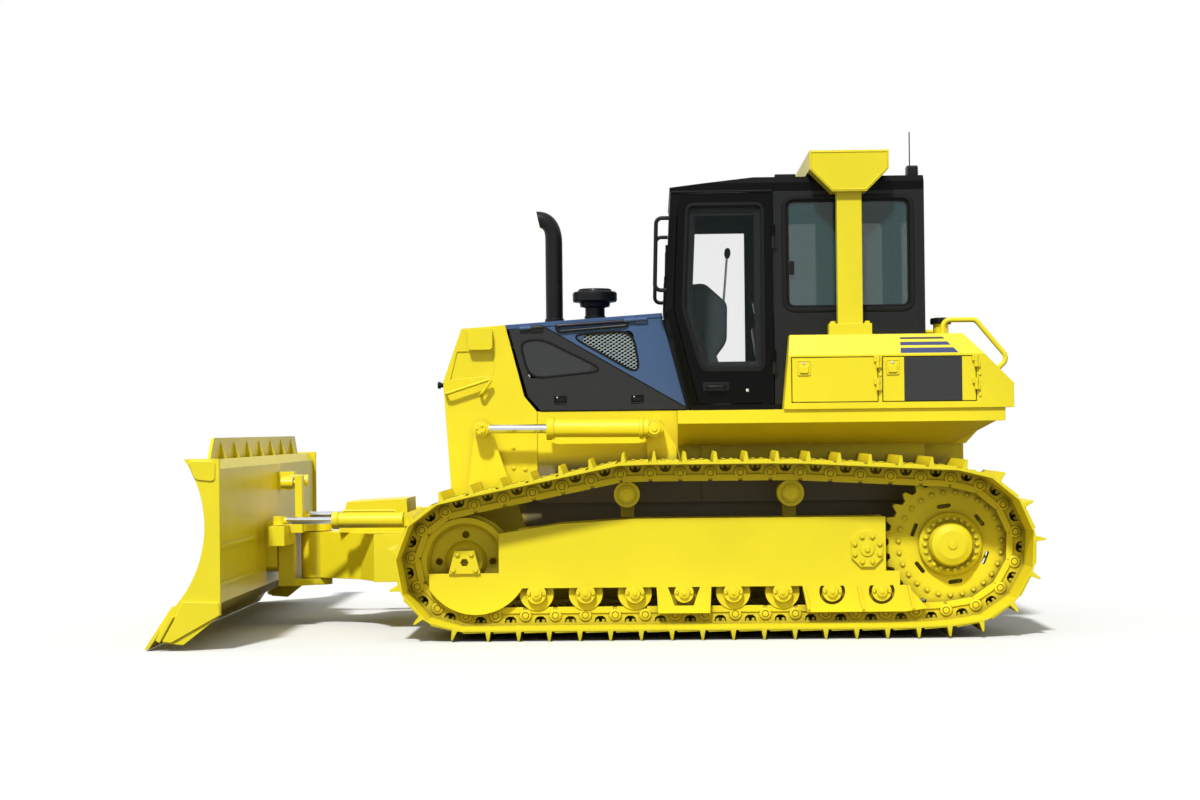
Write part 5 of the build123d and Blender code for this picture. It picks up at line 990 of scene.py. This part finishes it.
inside = {"dash": [(0.1, 1.56), (0.15, 2.25), (0.1, 2.36), (-0.02, 2.372), (-0.178, 2.23),
                   (-0.172, 1.96), (-0.07, 1.82), (-0.03, 1.56)],
          "knob": [(0, 0), (0.014, 0.004), (0.023, 0.03), (0.02, 0.06), (0.01, 0.074), (0, 0.076)],
          "dashHalf": 0.35, "levers": [((-0.42, 0.43, 2.15), (-0.39, 0.425, 2.29)),
                                        ((-0.42, -0.43, 2.15), (-0.39, -0.425, 2.29)),
                                        ((-0.15, 0.33, 2.2), (-0.18, 0.33, 2.56))],
          "seatX": -0.76, "floor": 1.52}
pads = {"seatCushion": {"at": (0.07, 0.0, 0.372), "half": (0.195, 0.225, 0.05), "lean": 2.0, "cap": 0.016},
        "seatBack": {"at": (-0.232, 0.0, 0.7), "half": (0.048, 0.215, 0.26), "lean": -8.5, "cap": 0.016},
        "headRest": {"at": (-0.272, 0.0, 1.0), "half": (0.036, 0.13, 0.05), "lean": -8.5, "cap": 0.01}}


def cushion(at, half, lean, power=0.3, rows=24, cols=40):
    # a superellipsoid: cosines and sines of two angles, each raised to a power that squares it up
    up = np.linspace(-math.pi / 2, math.pi / 2, rows)[:, None]
    turn = np.linspace(0, tau, cols, endpoint=False)[None, :]

    def squared(value):
        return np.sign(value) * np.abs(value) ** power

    x = squared(np.cos(up)) * squared(np.cos(turn)) * half[0]
    y = squared(np.cos(up)) * squared(np.sin(turn)) * half[1]
    z = squared(np.sin(up)) * half[2] + 0 * turn
    level, over = math.cos(math.radians(lean)), math.sin(math.radians(lean))
    verts = np.stack([x * level + z * over, y, z * level - x * over], -1)
    place = (inside["seatX"] + midX + at[0], at[1], inside["floor"] + at[2])
    return verts.reshape(-1, 3) + place, gridFaces(rows, cols)


def settled(obj):
    made = bpy.data.meshes.new_from_object(obj.evaluated_get(bpy.context.evaluated_depsgraph_get()))
    obj.modifiers.clear()
    obj.data = made
    return made


def fillPad(obj, cap):
    # remesh, inflate for twenty frames, and keep each point within cap of where it began
    remesh = obj.modifiers.new("even", "REMESH")
    remesh.mode = "VOXEL"
    remesh.voxel_size = 0.006
    before = coords(settled(obj))
    cloth = obj.modifiers.new("fill", "CLOTH")
    cloth.settings.use_pressure = True
    cloth.settings.uniform_pressure_force = 4.0
    cloth.settings.effector_weights.gravity = 0.0
    for number in range(1, 21):
        bpy.context.scene.frame_set(number)
    mesh = settled(obj)
    move = coords(mesh) - before
    far = np.linalg.norm(move, axis=1, keepdims=True)
    move *= np.minimum(1.0, cap / np.maximum(far, 1e-9))
    mesh.vertices.foreach_set("co", (before + move).ravel())
    mesh.update()
    mesh.shade_smooth()
    bpy.context.scene.frame_set(1)
    soft = obj.modifiers.new("soft", "SUBSURF")
    soft.levels = soft.render_levels = 1


def dressInside():
    half = inside["dashHalf"]
    hood = slab(sidePlane(half), roundCorners(inside["dash"], 0.04), -2 * half, 0.0, 0.012)
    build("instrumentHood", hood, "plastic")
    sticks, grips = [], []
    for foot, head in inside["levers"]:
        foot, head = (np.array(point) + (midX, 0, 0) for point in (foot, head))
        sticks.append(carried(roundProfile(0.008, 8), [foot, head], (0, 1, 0)))
        grips.append(turnedAt([head - (0, 0, 0.02)], unit(head - foot), inside["knob"], 14))
    build("leverSticks", merge(sticks), "chrome")
    build("leverKnobs", merge(grips), "rubber")
    base = topPlane(inside["floor"])
    x = inside["seatX"]
    stand = merge([slab(base, roundRect(x, 0, 0.34, 0.38, 0.03), 0.0, 0.2, 0.01),
                   slab(base, roundRect(x + 0.02, 0, 0.44, 0.46, 0.05), 0.2, 0.318, 0.02),
                   cushion((-0.298, 0.0, 0.69), (0.016, 0.2, 0.3), -8.5, 0.35)])
    seat = build("seatStand", stand, "plastic")
    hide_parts("operator_seat")
    for name, pad in pads.items():
        obj = build(name, cushion(pad["at"], pad["half"], pad["lean"]), "cloth", "chassis", 60.0)
        fillPad(obj, pad["cap"])


dressInside()
print("inside dressed")


# blade: plough bolts along the edge, plates and corner bits on the ends

blade = {"half": 1.93, "edge": [(3.376, 0.276), (3.542, 0.024)], "rows": (0.22, 0.42), "bolts": 24,
         "span": 1.8, "topPlate": [(3.092, 1.186), (3.256, 1.188), (3.216, 1.072), (3.092, 1.06)],
         "cornerBit": [(3.3, 0.312), (3.074, 0.306), (3.062, 0.224), (3.372, 0.052), (3.43, 0.06),
                       (3.348, 0.206)],
         "bar": [(3.352, 0.214), (3.378, 0.232), (3.47, 0.07), (3.444, 0.052)]}


def dressBlade():
    (x0, z0), (x1, z1) = blade["edge"]
    along = np.array([x1 - x0, z1 - z0])
    normal = unit([-along[1], 0.0, along[0]])
    ys = np.linspace(-blade["span"], blade["span"], blade["bolts"])
    rows = []
    for part in blade["rows"]:
        x, z = np.array([x0, z0]) + along * part
        rows.append(np.stack([np.full(len(ys), x + midX), ys, np.full(len(ys), z)], 1))
    heads = turnedAt(np.concatenate(rows), normal, disc(0.021, 0.005, 0.002), 14)
    build("edgeBolts", heads, "steel", "blade")
    end = sidePlane(blade["half"])
    top = roundCorners(blade["topPlate"], 0.03)
    plates = merge([slab(end, top, 0, 0.008), rim(end, top, 0.012, 0.006),
                    slab(end, roundCorners(blade["cornerBit"], 0.012), 0, 0.014, 0.004),
                    slab(end, blade["bar"], 0, 0.022, 0.004)])
    build("bladeEndPlates", bothSides(plates), "yellow", "blade")


dressBlade()
print("blade dressed")


# cylinders: gland rings, end caps on the pins and the pipes along the barrels

# a gland is (distance from the tail pin, length), a pipe runs between two distances, off to one side
cylinders = {
    "lift": {"tail": (0.338, 0.702, 1.362), "eye": (1.52, 0.702, 1.372), "radius": 0.068, "sides": 28,
             "glands": [(0.681, 0.052), (0.075, 0.028)], "pipe": (0.11, 0.641), "bore": 0.011,
             "off": (-0.084, 0.012)},
    "angle": {"tail": (2.03, 0.586, 0.752), "eye": (2.94, 0.5, 0.752), "radius": 0.052, "sides": 24,
              "glands": [(0.49, 0.044)], "pipe": (0.09, 0.462), "bore": 0.009, "off": (0.0, 0.066)}}
liftPins = {"tail": (0.338, 1.362), "tailFace": 0.77, "eye": (1.52, 1.372), "eyeFace": 0.758,
            "cap": [(0, 0), (0.044, 0), (0.044, 0.008), (0.04, 0.012), (0.018, 0.012), (0.018, 0.02),
                    (0, 0.02)]}


def collar(radius, length):
    # the profile of a gland: a ring with softened edges that stands out from the barrel
    rise = np.array([(-0.004, 0), (0.007, 0), (0.009, 0.003), (0.009, length - 0.004), (0.005, length),
                     (-0.004, length)])
    return rise + (radius, 0)


def dressBarrel(kind, side, sign):
    make = cylinders[kind]
    body = kind + "_barrel_" + side
    tail, eye = (np.array(make[key]) * (1, sign, 1) + (midX, 0, 0) for key in ("tail", "eye"))
    aim = unit(eye - tail)
    glands = [turnedAt([tail + aim * at], aim, collar(make["radius"], length), make["sides"])
              for at, length in make["glands"]]
    build(kind + "Glands_" + side, merge(glands), "yellow", body)
    off = np.array((0, make["off"][0] * sign, make["off"][1]))
    first, last = (tail + aim * at for at in make["pipe"])
    pipe = [first + off * 0.6, first + off, last + off, last + off * 0.6]
    build(kind + "Pipe_" + side, tube(pipe, make["bore"], 0.03), "yellow", body)


def dressCylinders():
    for side, sign in leftRight:
        dressBarrel("lift", side, sign)
        pin, face = (sidePlane(liftPins[key] * sign) for key in ("tailFace", "eyeFace"))
        build("liftTailCap_" + side, knobs(pin, [liftPins["tail"]], liftPins["cap"], 20), "yellow")
        eye = liftPins["eye"]
        screws = bolts(face, ring(*eye, 0.022, 3), 0.007, 0.006, 0.012)
        cap = merge([knobs(face, [eye], disc(0.04, 0.012), 20), screws])
        build("liftEyeCap_" + side, cap, "yellow", "lift_rod_" + side)
        dressBarrel("angle", side, sign)


dressCylinders()
print("cylinders dressed")


# nose: a bent handrail and bolts on each side, and stop buttons at the front edge

nose = {"rail": [(1.768, 0.536, 1.614), (1.768, 0.598, 1.614), (1.45, 0.598, 1.716), (1.528, 0.598, 1.604),
                 (1.528, 0.536, 1.604)], "radius": 0.012, "button": (1.788, 0.5, 1.676),
        "bolts": [(1.31, 1.1), (1.31, 1.24), (1.31, 1.38), (1.23, 1.09)], "face": 0.54}


def dressNose():
    rail = np.array(nose["rail"]) + (midX, 0, 0)
    pipe = tube(rail, nose["radius"], 0.03, 10)
    heads = bolts(sidePlane(nose["face"]), nose["bolts"], 0.011, 0.01)
    build("noseRails", bothSides(merge([pipe, heads])), "yellow")
    x, y, z = nose["button"]
    button = [(0, 0), (0.016, 0), (0.016, 0.022), (0.024, 0.024), (0.024, 0.04), (0.018, 0.044), (0, 0.044)]
    build("noseButtons", bothSides(knobs(endPlane(x, 1), [(y, z)], button, 16)), "rubber")


dressNose()
print("nose dressed")


# roll bar, lamps and hitch: foot bolts, a weld bead on the beam, lenses and the drawbar pin

trim = {"postX": -0.976, "postY": 0.8975, "footZ": 2.048, "footBolts": (0.114, 0.036),
        "beam": [(-0.713, 3.203), (-0.713, 3.078), (-0.863, 2.928), (-1.089, 2.928), (-1.239, 3.078),
                 (-1.239, 3.203)],
        "beamOut": 1.0, "lens": (1.603, 0.568, 1.99), "lensSize": (0.042, 0.112),
        "tail": (-2.018, 0.64, 1.56), "tailSize": (0.15, 0.09),
        "drawbar": (-2.105, 0.56, 0.06)}


def dressTrim():
    foot = topPlane(trim["footZ"])
    dx, dy = trim["footBolts"]
    spots = [(trim["postX"] + sx * dx, trim["postY"] + sy * dy) for sx in (-1, 1) for sy in (-1, 1)]
    outer = sidePlane(trim["beamOut"])
    seam = rim(outer, inset(trim["beam"], 0.012), 0.01, 0.004)
    build("rollBarBolts", bothSides(merge([bolts(foot, spots, 0.018, 0.018), seam])), "yellow")
    x, y, z = trim["lens"]
    lens = slab(endPlane(x, 1), roundRect(y, z, *trim["lensSize"], 0.01), -0.012, -0.002)
    build("headLampLenses", bothSides(lens), "lens")
    x, y, z = trim["tail"]
    tail = endPlane(x, -1)
    line = roundRect(y, z, *trim["tailSize"], 0.016)
    build("tailLampCases", bothSides(slab(tail, line, 0, 0.03, 0.006)), "black")
    build("tailLampLenses", bothSides(slab(tail, inset(line, 0.012), 0.028, 0.036, 0.003)), "red")
    x, z, thick = trim["drawbar"]
    pin = [(0, -0.05), (0.02, -0.05), (0.025, -0.035), (0.025, thick + 0.002), (0.042, thick + 0.002),
           (0.042, thick + 0.024), (0.02, thick + 0.03), (0, thick + 0.03)]
    build("drawbarPin", upright(x, 0, z, pin, 24), "steel")


dressTrim()
print("trim dressed")

setFloor()
setCamera()
setLight()
bpy.context.scene.view_settings.view_transform = "Standard"
print("stage set")
